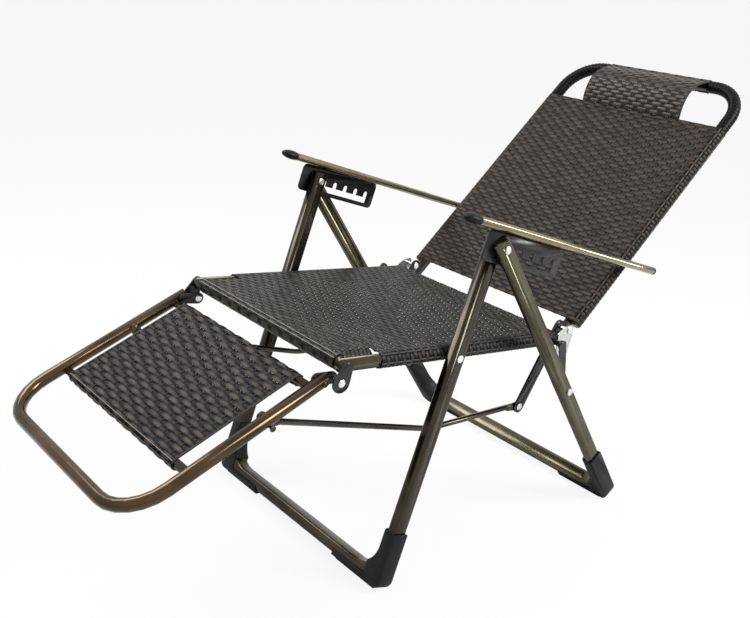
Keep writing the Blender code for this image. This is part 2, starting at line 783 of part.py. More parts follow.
def back_weave(shop):
    start = AT.back_offset + BACK_TUBE_START + HEM_WALL
    top = BACK_TOP_CROSSBAR_AT + BAR_HEM_RADIUS
    weave = side_hemmed(shop, "back_weave", "back", AT.crossing, AT.back_along, (start, top))
    crossbar = back_point(BACK_TOP_CROSSBAR_AT, crossbar_lift())
    bar = (BACK_TOP_CROSSBAR_AT, crossbar_lift())
    inward = BACK_TOP_CROSSBAR_AT - 4 * BAR_RADIUS
    bar_hole = snug(BAR_RADIUS)
    hem_outline = end_hem_loops(bar, inward, BAR_HEM_RADIUS, bar_hole, WEAVE_THICKNESS)[:1]
    shop.boolean(weave, end_hem(shop, "back_top_hem", AT.crossing, AT.back_along, hem_outline), "UNION")
    inside = RAIL_X - 2 * RAIL_RADIUS
    shop.bore(weave, [back_point(BACK_LOWER_CROSSBAR_AT)], bar_hole, inside, RAIL_X)
    shop.bore(weave, [crossbar], bar_hole, -RAIL_X, RAIL_X, (1,))
    shop.bore(weave, [AT.arm_pivot], BOLT_RADIUS + RUNNING_GAP, RAIL_X, RAIL_X + 2 * RAIL_RADIUS)
    add_wraps(shop, weave, top)
    room = LEVER_WIDTH / 2 + RUNNING_GAP
    lever_bottom = AT.back_start
    lever_top = back_point(AT.back_offset + LEVER_UP_BACK)
    notch_loop = round_ended(lever_bottom, room, lever_top, room)
    for side in (1, -1):
        notch = flat_curve("lever_notch", [notch_loop], LEVER_THICKNESS + 2 * LEVER_NOTCH_ROOM)
        cutter = shop.as_mesh(shop.guide("lever_notch", notch, (side * LEVER_X, 0.0, 0.0), across_frame()))
        shop.boolean(weave, cutter, "DIFFERENCE")


def back_frame(shop):
    """One tube bent to a U: two rails and the bar over the headrest."""
    start = AT.back_offset + BACK_TUBE_START
    path = u_path(RAIL_X, BACK_LENGTH, TUBE_BEND_RADIUS, start)
    points = in_space(path, AT.crossing, AT.back_along)
    frame = shop.tube("back_frame", points, RAIL_RADIUS, "back", "bronze_paint")
    shop.bore(frame, [AT.arm_pivot], BOLT_RADIUS + RUNNING_GAP, RAIL_X, RAIL_X + 2 * RAIL_RADIUS)
    shop.bore(frame, lever_rivet_spots(), RIVET_RADIUS + RUNNING_GAP, RAIL_X - 2 * RAIL_RADIUS, RAIL_X)


def wrap_route(side, low, end):
    """The tube's route from a height on a rail, round the bend, to a distance from the middle."""
    bend_centre = (RAIL_X - TUBE_BEND_RADIUS, BACK_LENGTH - TUBE_BEND_RADIUS)
    bend = arc(bend_centre, TUBE_BEND_RADIUS, 0, 90, BEND_STEPS)
    route = [Vector((RAIL_X, low))] + bend + [Vector((end, BACK_LENGTH))]
    return in_space([Vector((side * p.x, p.y)) for p in route], AT.crossing, AT.back_along)


def add_wraps(shop, weave, top):
    """Joins the strip wound round the tube above the panel to the panel's top corners."""
    end = HEADREST_HALF_WIDTH + GAP
    hole = snug(RAIL_RADIUS + GAP, TUBE_SIDES)
    for side_name, side in SIDES:
        name = "back_wrap_" + side_name
        wound = tube_curve(name, wrap_route(side, top - WELD_DEPTH, end), HEM_RADIUS - GAP)
        bored = tube_curve(name + "_bore", wrap_route(side, top - HEM_WALL, end - HEM_WALL), hole)
        wrap = shop.as_mesh(shop.guide(name, wound))
        shop.boolean(wrap, shop.as_mesh(shop.guide(name + "_bore", bored)), "DIFFERENCE")
        shop.boolean(weave, wrap, "UNION")


def headrest_weave(shop):
    """Arched strip of weave from the top bar down to the panel's top edge."""
    half_sheet = HEADREST_THICKNESS / 2
    top = (BACK_LENGTH, HEM_RADIUS - half_sheet)
    bottom = (BACK_TOP_CROSSBAR_AT + BAR_HEM_RADIUS, crossbar_lift() + BAR_HEM_RADIUS + GAP)
    steps = 12
    middle_line = []
    for i in range(steps + 1):
        share = i / steps
        along = bottom[0] + (top[0] - bottom[0]) * share
        up = bottom[1] + (top[1] - bottom[1]) * share + 4 * HEADREST_BULGE * share * (1 - share)
        middle_line.append(Vector((along, up)))
    front_face, rear_face = offset_both_ways(middle_line, half_sheet)
    loop = front_face + list(reversed(rear_face))
    up = left_of(AT.back_along)
    frame = Matrix(((0, 0, 1), (AT.back_along.x, up.x, 0), (AT.back_along.y, up.y, 0)))
    centre = (0.0, AT.crossing.x, AT.crossing.y)
    sheet = shop.flat("headrest_weave", [loop], 2 * HEADREST_HALF_WIDTH, "back", "rattan", centre, frame)
    hem_loop = [circle((BACK_LENGTH, 0.0), HEM_RADIUS, 2 * HEM_STEPS)]
    hem_curve = flat_curve("headrest_hem", hem_loop, 2 * HEADREST_HALF_WIDTH)
    hem = shop.guide("headrest_hem", hem_curve, centre, frame)
    shop.boolean(sheet, shop.as_mesh(hem), "UNION")
    hole_loop = [circle((BACK_LENGTH, 0.0), snug(RAIL_RADIUS))]
    hole_width = 2 * HEADREST_HALF_WIDTH + RAIL_RADIUS
    hole = shop.guide("headrest_hole", flat_curve("headrest_hole", hole_loop, hole_width), centre, frame)
    shop.boolean(sheet, shop.as_mesh(hole), "DIFFERENCE")


def offset_both_ways(line, distance):
    """Two lines at a distance on either side of a line."""
    left, right = [], []
    for i, point in enumerate(line):
        before = line[max(i - 1, 0)]
        after = line[min(i + 1, len(line) - 1)]
        side = left_of((after - before).normalized()) * distance
        left.append(point + side)
        right.append(point - side)
    return left, right


def lever_rivet_spots():
    first = AT.back_offset + LEVER_UP_BACK * 0.55
    second = AT.back_offset + LEVER_UP_BACK
    return [back_point(first), back_point(second)]


def back_levers(shop):
    """Flat bars from the back rails, past the hinge, down to the drive rods."""
    half = LEVER_WIDTH / 2
    lower = round_ended(AT.lever_end, half, AT.back_hinge, half)
    upper = round_ended(AT.back_start, half, back_point(AT.back_offset + LEVER_UP_BACK), half)
    face = LEVER_X - LEVER_THICKNESS / 2
    for side_name, side in SIDES:
        name = "back_lever_" + side_name
        lever = shop.side_plate(name, [lower], side * LEVER_X, LEVER_THICKNESS, "back", "black_paint")
        arm = flat_curve(name + "_upper", [upper], LEVER_THICKNESS)
        place = (side * LEVER_X, 0.0, 0.0)
        shop.boolean(lever, shop.as_mesh(shop.guide(name + "_upper", arm, place, across_frame())), "UNION")
        inner = RAIL_X - RAIL_RADIUS * 2
        shop.bore(lever, [AT.back_hinge, AT.lever_end], BOLT_RADIUS + RUNNING_GAP, inner, RAIL_X)
        add_rivets(shop, lever, lever_rivet_spots(), face, RAIL_X - BOLT_RADIUS, (side,), head_inside=True)


def bolt_profile(outer, inner, radius, head_radius, both_heads=True):
    """Profile of a bolt whose shank lies between two faces, with low domed heads beyond them."""
    dome = head_radius * HEAD_TOP_SHARE
    top = outer + HEAD_HEIGHT
    profile = [(0.0, top), (dome, top), (head_radius, outer + HEAD_HEIGHT / 2)]
    profile += [(head_radius, outer), (radius, outer)]
    if both_heads:
        profile += [(radius, inner), (head_radius, inner), (head_radius, inner - HEAD_HEIGHT / 2)]
        profile += [(dome, inner - HEAD_HEIGHT), (0.0, inner - HEAD_HEIGHT)]
    else:
        profile += [(radius, inner), (0.0, inner)]
    return profile


def seat_bars(shop):
    cross_bar(shop, "seat_front_bar", seat_point(seat_front_bar_at()), RAIL_RADIUS, "seat")
    cross_bar(shop, "seat_rear_bar", seat_point(SEAT_REAR_BAR_AT), BAR_RADIUS, "seat")


def back_bars(shop):
    top = back_point(BACK_TOP_CROSSBAR_AT, crossbar_lift())
    cross_bar(shop, "back_top_crossbar", top, BAR_RADIUS, "back")
    cross_bar(shop, "back_lower_crossbar", back_point(BACK_LOWER_CROSSBAR_AT), BAR_RADIUS, "back")


def seat_front_lugs(shop):
    """Round lugs that hang from the front ends of the seat rails and carry the footrest."""
    root = seat_point(-SEAT_FRONT_REACH + LUG_END_RADIUS)
    outline = round_ended(AT.foot_hinge, DISC_RADIUS, root, LUG_END_RADIUS)
    loops = [outline, circle(AT.foot_hinge, BOLT_RADIUS + RUNNING_GAP)]
    for side_name, side in SIDES:
        name = "seat_front_lug_" + side_name
        shop.side_plate(name, loops, side * OUTER_LUG_X, LUG_THICKNESS, "seat", "black_paint")


def seat_rear_lugs(shop):
    """Bright brackets at the rear ends of the seat rails that carry the back hinge."""
    hinge = AT.back_hinge
    front = seat_point(seat_hem_end() + RUNNING_GAP)
    corners = [
        front + Vector((0.0, -BRACKET_DROP)) + AT.seat_up * RAIL_RADIUS,
        hinge + Vector((0.0, -BRACKET_DROP)) - AT.seat_up * GAP,
        hinge + Vector((BRACKET_REACH, -BRACKET_REACH)),
        hinge + Vector((BRACKET_REACH, BRACKET_REACH)),
        hinge + Vector((-BRACKET_REACH, BRACKET_REACH)),
        front + AT.seat_up * RAIL_RADIUS,
    ]
    outline = rounded(corners, LUG_ROUNDING)
    loops = [outline, circle(AT.back_hinge, BOLT_RADIUS + RUNNING_GAP)]
    for side_name, side in SIDES:
        name = "seat_rear_lug_" + side_name
        shop.side_plate(name, loops, side * OUTER_LUG_X, LUG_THICKNESS, "seat", "zinc")


def seat_pivot_bolts(shop):
    """Bolts on which the seat hangs between the front legs, each with a collar between leg and rail."""
    head = BOLT_RADIUS * 2
    collar_outer = FRONT_LEG_INNER - GAP
    collar_inner = RAIL_X + HEM_RADIUS + GAP
    outer = FRONT_LEG_OUTER + GAP
    profile = [(0.0, outer + FLAT_HEAD), (head, outer + FLAT_HEAD), (head, outer), (BOLT_RADIUS, outer)]
    profile += [(BOLT_RADIUS, collar_outer), (head, collar_outer), (head, collar_inner)]
    end = RAIL_X + BOLT_RADIUS
    profile += [(BOLT_RADIUS, collar_inner), (BOLT_RADIUS, end), (0.0, end)]
    shop.turned_pair("seat_pivot_bolt", profile, AT.seat, "front_legs", "steel")


def fold_links(shop):
    """Flat bars that pull the seat down as the rear legs swing forward."""
    holes = [circle(AT.link_leg, BOLT_RADIUS + RUNNING_GAP)]
    outline = round_ended(AT.link_leg, LINK_HALF_WIDTH, AT.link_seat, LINK_HALF_WIDTH)
    for side_name, side in SIDES:
        name = "fold_link_" + side_name
        shop.side_plate(name, [outline] + holes, side * PLATE_X, LINK_THICKNESS, "fold_links", "black_paint")
    outer = REAR_LEG_OUTER + GAP
    inner = PLATE_X - LINK_THICKNESS / 2 - GAP
    head = BOLT_RADIUS * 2
    profile = bolt_profile(outer, inner, BOLT_RADIUS, head, both_heads=False)[:-2]
    profile += [(BOLT_RADIUS, inner), (head, inner), (head, inner - FLAT_HEAD), (0.0, inner - FLAT_HEAD)]
    shop.turned_pair("link_leg_rivet", profile, AT.link_leg, "rear_legs", "steel")


def link_seat_bolts(shop):
    """Bolts with a long spacer and a round black collar, from the seat rails out to the fold links."""
    outer = PLATE_X - LINK_THICKNESS / 2 - GAP
    collar = outer - COLLAR_THICKNESS
    foot = RAIL_X + HEM_RADIUS + GAP
    end = RAIL_X + BOLT_RADIUS
    profile = [(0.0, outer), (LINK_HALF_WIDTH, outer), (LINK_HALF_WIDTH, collar), (SPACER_RADIUS, collar)]
    profile += [(SPACER_RADIUS, foot), (BOLT_RADIUS, foot), (BOLT_RADIUS, end), (0.0, end)]
    shop.turned_pair("link_seat_bolt", profile, AT.link_seat, "seat", "black_paint")


def arm_spacers(shop):
    """Spacers between the back rails and the armrests."""
    outer = ARM_INNER - GAP
    foot = RAIL_X + HEM_RADIUS + GAP
    end = RAIL_X + BOLT_RADIUS
    profile = [(0.0, outer), (SPACER_RADIUS, outer), (SPACER_RADIUS, foot), (BOLT_RADIUS, foot)]
    profile += [(BOLT_RADIUS, end), (0.0, end)]
    shop.turned_pair("arm_spacer", profile, AT.arm_pivot, "back", "black_paint")


def back_hinge_bolts(shop):
    outer = OUTER_LUG_X + LUG_THICKNESS / 2 + GAP
    inner = LEVER_X - LEVER_THICKNESS / 2 - GAP
    profile = bolt_profile(outer, inner, BOLT_RADIUS, 2 * BOLT_RADIUS)
    shop.turned_pair("back_hinge_bolt", profile, AT.back_hinge, "seat", "steel")


def lever_bolts(shop):
    outer = LEVER_X + LEVER_THICKNESS / 2 + GAP
    inner = ROD_EYE_X - ROD_EYE_THICKNESS / 2 - GAP
    profile = bolt_profile(outer, inner, BOLT_RADIUS, 2 * BOLT_RADIUS)
    shop.turned_pair("lever_bolt", profile, AT.lever_end, "back", "steel")


def footrest_hinge_rivets(shop):
    outer = OUTER_LUG_X + LUG_THICKNESS / 2 + GAP
    inner = INNER_LUG_X - LUG_THICKNESS / 2 - GAP
    profile = bolt_profile(outer, inner, BOLT_RADIUS, 2 * BOLT_RADIUS)
    shop.turned_pair("footrest_hinge_rivet", profile, AT.foot_hinge, "seat", "steel")


def add_rivets(shop, obj, spots, inner, outer, signs=(1, -1), head_inside=False):
    """Joins rivets to the piece that they fasten, each with a low head at its inner or its outer end."""
    name = obj.name + "_rivets"
    shanks = rods_across(spots, RIVET_RADIUS, inner, outer, BOLT_SIDES, signs)
    head = (inner - FLAT_HEAD, inner + FLAT_HEAD) if head_inside else (outer - GAP, outer + FLAT_HEAD)
    heads = rods_across(spots, 2 * RIVET_RADIUS, head[0], head[1], BOLT_SIDES, signs)
    shop.boolean(obj, shop.guide(name, shanks), "UNION")
    shop.boolean(obj, shop.guide(name + "_heads", heads), "UNION")


def footrest_lug_rivet_spot():
    return foot_point(FOOTREST_TUBE_START + LUG_END_RADIUS)


def footrest_frame(shop):
    """One tube bent to a U, two rails and the front bar, with a riveted lug for each drive rod."""
    path = u_path(RAIL_X, FOOTREST_LENGTH, TUBE_BEND_RADIUS, FOOTREST_TUBE_START)
    points = in_space(path, AT.foot_start, AT.foot_along)
    frame = shop.tube("footrest_frame", points, RAIL_RADIUS, "footrest", "bronze_paint")
    spots = [footrest_lug_rivet_spot()]
    shop.bore(frame, spots, RIVET_RADIUS + RUNNING_GAP, RAIL_X - 2 * RAIL_RADIUS, RAIL_X + 2 * RAIL_RADIUS)
    outline = round_ended(AT.rod_lug, ROD_EYE_RADIUS, AT.rod_lug_line, ROD_EYE_RADIUS)
    inner = ROD_EYE_X + ROD_EYE_THICKNESS / 2 + GAP
    outer = RAIL_X - RAIL_RADIUS + WELD_DEPTH
    for side_name, side in SIDES:
        name = "rod_lug_" + side_name
        lug = flat_curve(name, [outline], outer - inner)
        place = (side * (inner + outer) / 2, 0.0, 0.0)
        shop.boolean(frame, shop.as_mesh(shop.guide(name, lug, place, across_frame())), "UNION")
    add_rivets(shop, frame, [AT.rod_lug], (inner + outer) / 2, RAIL_X + RAIL_RADIUS + GAP)


def footrest_bars(shop):
    front = foot_point(FOOTREST_FRONT_BAR_AT, -FOOTREST_BAR_BELOW_LINE)
    rear = foot_point(FOOTREST_REAR_BAR_AT, -FOOTREST_BAR_BELOW_LINE)
    cross_bar(shop, "footrest_front_bar", front, BAR_RADIUS, "footrest")
    cross_bar(shop, "footrest_rear_bar", rear, BAR_RADIUS, "footrest")


def footrest_weave(shop):
    """Woven panel hemmed round the two crossbars, clear of the side rails."""
    half_distance = (FOOTREST_FRONT_BAR_AT - FOOTREST_REAR_BAR_AT) / 2
    loops = side_hem_loops(half_distance, BAR_HEM_RADIUS, snug(BAR_RADIUS), WEAVE_THICKNESS)
    middle = foot_point((FOOTREST_FRONT_BAR_AT + FOOTREST_REAR_BAR_AT) / 2, -FOOTREST_BAR_BELOW_LINE)
    back = -AT.foot_along
    up = AT.foot_up
    frame = Matrix(((0, 0, 1), (back.x, up.x, 0), (back.y, up.y, 0)))
    centre = (0.0, middle.x, middle.y)
    width = 2 * FOOTREST_WEAVE_HALF_WIDTH
    shop.flat("footrest_weave", loops, width, "footrest", "rattan", centre, frame)


def footrest_lugs(shop):
    """Round lugs on the inner sides of the footrest rails, next to the seat's."""
    outline = round_ended(AT.foot_hinge, INNER_DISC_RADIUS, footrest_lug_rivet_spot(), LUG_END_RADIUS)
    loops = [outline, circle(AT.foot_hinge, BOLT_RADIUS + RUNNING_GAP)]
    for side_name, side in SIDES:
        name = "footrest_lug_" + side_name
        lug = shop.side_plate(name, loops, side * INNER_LUG_X, LUG_THICKNESS, "footrest", "black_paint")
        add_rivets(shop, lug, [footrest_lug_rivet_spot()], INNER_LUG_X, RAIL_X + RAIL_RADIUS + GAP, (side,))


def drive_rods(shop):
    """Rods from the levers to the footrest, bent in the middle, with flattened ends."""
    to_bend = (AT.rod_bend - AT.rod_lug).normalized()
    from_bend = (AT.lever_end - AT.rod_bend).normalized()
    tube_start = AT.rod_lug + to_bend * (ROD_EYE_RADIUS + ROD_RADIUS)
    tube_end = AT.lever_end - from_bend * (ROD_EYE_RADIUS + ROD_RADIUS)
    before = AT.rod_bend - to_bend * ROD_BEND_LENGTH
    after = AT.rod_bend + from_bend * ROD_BEND_LENGTH
    shares = [step / ROD_BEND_STEPS for step in range(ROD_BEND_STEPS + 1)]
    bend = [before * (1 - t) ** 2 + AT.rod_bend * 2 * t * (1 - t) + after * t ** 2 for t in shares]
    route = [tube_start] + bend + [tube_end]
    eye_front = round_ended(AT.rod_lug, ROD_EYE_RADIUS, AT.rod_lug + to_bend * ROD_EYE_LENGTH, ROD_RADIUS)
    eye_foot = AT.lever_end - from_bend * ROD_EYE_LENGTH
    eye_rear = round_ended(AT.lever_end, ROD_EYE_RADIUS, eye_foot, ROD_RADIUS)
    pin_hole = circle(AT.lever_end, BOLT_RADIUS + RUNNING_GAP)
    for side_name, side in SIDES:
        name = "drive_rod_" + side_name
        points = [(side * ROD_X, p.x, p.y) for p in route]
        rod = shop.tube(name, points, ROD_RADIUS, "drive_rods", "black_paint")
        for eye_name, loops in (("front", [eye_front]), ("rear", [eye_rear, pin_hole])):
            eye = flat_curve(name + "_" + eye_name, loops, ROD_EYE_THICKNESS)
            place = (side * ROD_EYE_X, 0.0, 0.0)
            guide = shop.guide(name + "_" + eye_name, eye, place, across_frame())
            shop.boolean(rod, shop.as_mesh(guide), "UNION")


def leg_pins(shop):
    """Pins at the leg tops, with a washer between leg and notch plate."""
    head = 2 * BOLT_RADIUS
    inner = FRONT_LEG_INNER - GAP
    profile = [(0.0, FRONT_LEG_OUTER), (BOLT_RADIUS, FRONT_LEG_OUTER), (BOLT_RADIUS, inner), (head, inner)]
    top = inner - HEAD_HEIGHT
    profile += [(head, inner - HEAD_HEIGHT / 2), (head * HEAD_TOP_SHARE, top), (0.0, top)]
    shop.turned_pair("front_leg_pin", profile, AT.pivot, "front_legs", "steel")
    outer = REAR_LEG_OUTER + GAP
    profile = bolt_profile(outer, PLATE_OUTER + RUNNING_GAP, BOLT_RADIUS, head, both_heads=False)
    shop.turned_pair("rear_leg_pin", profile, AT.pivot, "rear_legs", "steel")
    outer = PLATE_INNER - GAP
    inner = FRONT_LEG_OUTER + GAP
    profile = [(0.0, outer), (WASHER_RADIUS, outer), (WASHER_RADIUS, inner), (0.0, inner)]
    shop.turned_pair("pivot_washer", profile, AT.pivot, "front_legs", "steel")


def arm_frame():
    """Axes of a section across the armrest: x is the chair's x, y is up from the arm."""
    return along_frame(AT.arm_up)


def armrests(shop):
    """Oval tubes with a rounded knob in front and a flat cap at the rear."""
    profile = rounded_box(ARM_WIDTH / 2, ARM_THICKNESS / 2, ARM_THICKNESS / 2 - GAP, 5)
    end = ARM_LENGTH - ARM_CAP_THICKNESS
    for side_name, side in SIDES:
        middle = arm_point((ARM_TUBE_START + end) / 2)
        centre = (side * ARM_X, middle.x, middle.y)
        length = end - ARM_TUBE_START
        name = "armrest_" + side_name
        tube = shop.flat(name, [profile], length, "armrests", "bronze_paint", centre, arm_frame())
        add_rivets(shop, tube, [AT.arm_pivot], ARM_X, ARM_OUTER + GAP, (side,))
        for spot in tab_spots():
            shop.boolean(tube, shop.guide("screw_hole", screw_hole(spot, side)), "DIFFERENCE")
        cap_spot = arm_point(ARM_LENGTH - ARM_CAP_THICKNESS / 2 + GAP)
        cap = [profile]
        shop.flat(
            "arm_end_cap_" + side_name, cap, ARM_CAP_THICKNESS, "armrests", "slate_plastic",
            (side * ARM_X, cap_spot.x, cap_spot.y), arm_frame(),
        )


def arm_knobs(shop):
    """Rounded plastic knobs on the front ends of the armrests."""
    for side_name, side in SIDES:
        work = bmesh.new()
        bmesh.ops.create_uvsphere(work, u_segments=KNOB_SIDES, v_segments=KNOB_RINGS, radius=1.0)
        half_width = ARM_WIDTH / 2 + KNOB_MARGIN
        half_height = ARM_THICKNESS / 2 + KNOB_MARGIN
        size = Matrix.Diagonal((half_width, half_height, KNOB_LENGTH / 2, 1.0))
        bmesh.ops.transform(work, matrix=size, verts=work.verts)
        # the drawing's z runs from the arm's rear to its tip
        geometry = list(work.verts) + list(work.edges) + list(work.faces)
        place = (0, 0, -ARM_TUBE_START + GAP)
        forwards = (0, 0, -1)
        cut = bmesh.ops.bisect_plane(work, geom=geometry, plane_co=place, plane_no=forwards, clear_outer=True)
        rim = [item for item in cut["geom_cut"] if isinstance(item, bmesh.types.BMEdge)]
        bmesh.ops.edgenet_fill(work, edges=rim)
        bmesh.ops.recalc_face_normals(work, faces=work.faces)
        mesh = bpy.data.meshes.new("arm_knob")
        work.to_mesh(mesh)
        work.free()
        mesh.shade_smooth()
        mesh.set_sharp_from_angle(angle=SMOOTH_ANGLE)
        centre = (side * ARM_X, AT.arm_tip.x, AT.arm_tip.y)
        shop.add("arm_knob_" + side_name, mesh, "armrests", "slate_plastic", centre, arm_frame())


def notch_at(number):
    """Distance of a notch from the arm's tip. The legs' pin rests in the first."""
    return ARM_TIP_TO_PIVOT + number * NOTCH_PITCH


def plate_levels():
    """Heights below the arm's centre line of the plate, its notches and its channel."""
    levels = SimpleNamespace()
    levels.top = -ARM_THICKNESS / 2 - GAP
    levels.notch = -ARM_ABOVE_PIVOT
    levels.channel_top = levels.notch - TOOTH_LENGTH
    levels.channel_bottom = levels.channel_top - CHANNEL_HEIGHT
    levels.bottom = levels.channel_bottom - PLATE_LOWER_BAR
    return levels


def notch_window():
    """The hole in the plate: a channel along its foot with a round-topped notch above it per position."""
    levels = plate_levels()
    half = NOTCH_WIDTH / 2
    first = notch_at(0) - half
    last = notch_at(NOTCHES - 1) + half
    points = [Vector((first, levels.channel_bottom)), Vector((last, levels.channel_bottom))]
    for number in reversed(range(NOTCHES)):
        middle = notch_at(number)
        points.append(Vector((middle + half, levels.channel_top)))
        points += arc((middle, levels.notch), half, 0, 180, BEND_STEPS)
        points.append(Vector((middle - half, levels.channel_top)))
    clean = []
    for point in points:
        if not clean or (point - clean[-1]).length > GAP:
            clean.append(point)
    return clean[:-1] if (clean[-1] - clean[0]).length < GAP else clean


def notch_plates(shop):
    """Plates under the armrests with six notches for the leg pin, and two tabs screwed to the arm."""
    levels = plate_levels()
    rear = notch_at(NOTCHES - 1) + PLATE_END_MARGIN
    corners = [(PLATE_FRONT, levels.bottom), (rear, levels.bottom)]
    corners += [(rear, levels.top), (PLATE_FRONT, levels.top)]
    outline = rounded(corners, PLATE_ROUNDING)
    loops = [[arm_point(p.x, p.y) for p in loop] for loop in (outline, notch_window())]
    for side_name, side in SIDES:
        name = "notch_plate_" + side_name
        plate = shop.side_plate(name, loops, side * PLATE_X, PLATE_THICKNESS, "armrests", "black_paint")
        for spot in tab_spots():
            shop.boolean(plate, shop.guide(name + "_tab", tab_mesh(spot, side)), "UNION")
            under = plate_levels().top - TAB_THICKNESS
            shank = screw_mesh(spot, side, SCREW_RADIUS, under + TAB_THICKNESS / 4, under + SCREW_LENGTH)
            head = screw_mesh(spot, side, 2 * SCREW_RADIUS, under - FLAT_HEAD, under + TAB_THICKNESS / 2)
            shop.boolean(plate, shop.guide(name + "_screw", shank), "UNION")
            shop.boolean(plate, shop.guide(name + "_screw_head", head), "UNION")


def tab_spots():
    """Distances from the arm's tip of the plate's two tabs."""
    rear = notch_at(NOTCHES - 1) + PLATE_END_MARGIN
    inset = PLATE_ROUNDING + TAB_LENGTH / 2
    return [PLATE_FRONT + inset, rear - inset]


def tab_mesh(along, side):
    """A small flange under the arm, bent inwards from the plate's top edge."""
    levels = plate_levels()
    inner = PLATE_INNER - TAB_WIDTH
    xs = sorted((side * inner, side * (PLATE_X + PLATE_THICKNESS / 4)))
    mesh = box_mesh(
        "tab",
        (xs[0], along - TAB_LENGTH / 2, levels.top - TAB_THICKNESS),
        (xs[1], along + TAB_LENGTH / 2, levels.top - GAP / 2),
    )
    mesh.transform(arm_matrix())
    return mesh


def arm_matrix():
    """From (x, distance along the arm, height above it) to the chair's axes."""
    a, u, tip = AT.arm_along, AT.arm_up, AT.arm_tip
    return Matrix(((1, 0, 0, 0), (0, a.x, u.x, tip.x), (0, a.y, u.y, tip.y), (0, 0, 0, 1)))


def screw_mesh(along, side, radius, bottom, top):
    """A cylinder that stands square to the arm, between two heights above its centre line."""
    work = bmesh.new()
    middle = Matrix.Translation((side * screw_x(), along, (bottom + top) / 2))
    bmesh.ops.create_cone(
        work,
        cap_ends=True,
        segments=SCREW_SIDES,
        radius1=radius,
        radius2=radius,
        depth=top - bottom,
        matrix=arm_matrix() @ middle,
    )
    mesh = bpy.data.meshes.new("screw")
    work.to_mesh(mesh)
    work.free()
    return mesh


def screw_x():
    return PLATE_INNER - TAB_WIDTH / 2


def screw_hole(along, side):
    """The hole for a screw through a tab into the arm."""
    under = plate_levels().top - TAB_THICKNESS
    return screw_mesh(along, side, SCREW_RADIUS + GAP, under - GAP, under + SCREW_LENGTH + GAP)


def leg_frames(shop):
    leg_frame(shop, "front", [AT.pivot, AT.seat])
    leg_frame(shop, "rear", [AT.pivot, AT.link_leg])
    for which in ("front", "rear"):
        for side_name, side in SIDES:
            shoe(shop, which, side_name, side)
    leg_pins(shop)


def seat(shop):
    seat_rails(shop)
    seat_bars(shop)
    seat_weave(shop)
    seat_front_lugs(shop)
    seat_rear_lugs(shop)
    seat_pivot_bolts(shop)
    fold_links(shop)
    link_seat_bolts(shop)


def back(shop):
    back_frame(shop)
    back_bars(shop)
    back_weave(shop)
    headrest_weave(shop)
    back_levers(shop)
    back_hinge_bolts(shop)
    arm_spacers(shop)


def footrest(shop):
    footrest_frame(shop)
    footrest_bars(shop)
    footrest_weave(shop)
    footrest_lugs(shop)
    footrest_hinge_rivets(shop)
    drive_rods(shop)
    lever_bolts(shop)


def arms(shop):
    armrests(shop)
    arm_knobs(shop)
    notch_plates(shop)


def main():
    clear_scene()
    shop = Workshop()
    leg_frames(shop)
    seat(shop)
    back(shop)
    footrest(shop)
    arms(shop)


if __name__ == "__main__":
    main()
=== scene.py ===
"""Looks of the woven deck chair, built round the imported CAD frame."""

import json
import logging
import math
from collections.abc import Callable
from dataclasses import dataclass, field, replace
from enum import Enum
from functools import cache

import bpy
from mathutils import Matrix, Vector

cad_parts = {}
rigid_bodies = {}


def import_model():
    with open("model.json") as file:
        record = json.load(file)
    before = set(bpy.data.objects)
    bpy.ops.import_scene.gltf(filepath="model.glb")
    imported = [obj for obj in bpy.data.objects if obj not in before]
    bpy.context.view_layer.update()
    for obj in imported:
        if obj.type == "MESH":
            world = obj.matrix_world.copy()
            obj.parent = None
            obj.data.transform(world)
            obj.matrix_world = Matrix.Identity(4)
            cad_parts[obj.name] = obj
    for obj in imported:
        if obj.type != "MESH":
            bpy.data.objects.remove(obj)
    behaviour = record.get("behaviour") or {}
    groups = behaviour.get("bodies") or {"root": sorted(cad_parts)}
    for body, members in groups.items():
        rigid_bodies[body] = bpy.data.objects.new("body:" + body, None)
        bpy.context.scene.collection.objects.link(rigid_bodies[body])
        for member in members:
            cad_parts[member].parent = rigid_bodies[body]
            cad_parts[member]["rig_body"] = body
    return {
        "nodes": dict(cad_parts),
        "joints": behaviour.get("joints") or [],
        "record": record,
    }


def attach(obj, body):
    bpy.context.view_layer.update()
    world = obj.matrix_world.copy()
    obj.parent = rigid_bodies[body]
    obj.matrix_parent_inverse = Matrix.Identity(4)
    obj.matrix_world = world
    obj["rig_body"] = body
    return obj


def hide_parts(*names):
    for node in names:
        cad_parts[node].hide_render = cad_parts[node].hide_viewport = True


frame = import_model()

LOG = logging.getLogger("deck_chair")
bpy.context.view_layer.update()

Triple = tuple[float, float, float]
Socket = bpy.types.NodeSocket
Placing = Callable[[float, float, float], Vector]

SIDES = (("left", 1), ("right", -1))
STRAND_NOTE = "strand"
STRAND_SIDES = 6
STRAND_ANGLE = 60.0
WARP_SIDES = 5
WARP_CUT = 0.006
EDGE_SIDES = 8


def unit(degrees: float) -> Vector:
    """Gives a unit vector of the side view (y, z), at an angle from y towards z."""
    angle = math.radians(degrees)
    return Vector((math.cos(angle), math.sin(angle)))


def left_of(direction: Vector) -> Vector:
    """Gives the side-view vector a quarter turn to the left of a direction."""
    return Vector((-direction.y, direction.x))


def round_tube(gone: float, radius: float, height: float) -> Vector:
    """Gives the (forward, up) place from a tube's middle, a length forward round its top."""
    return unit(90 - math.degrees(gone / radius)) * (radius + height)


def across_chair(spot: Vector, half: float) -> list[Vector]:
    """Gives three points straight across the chair, at a side-view place."""
    return [Vector((x, spot.x, spot.y)) for x in (-half, 0.0, half)]


def even(value: float) -> Triple:
    """Gives a number three times, as a grey or an even scale."""
    return (value, value, value)


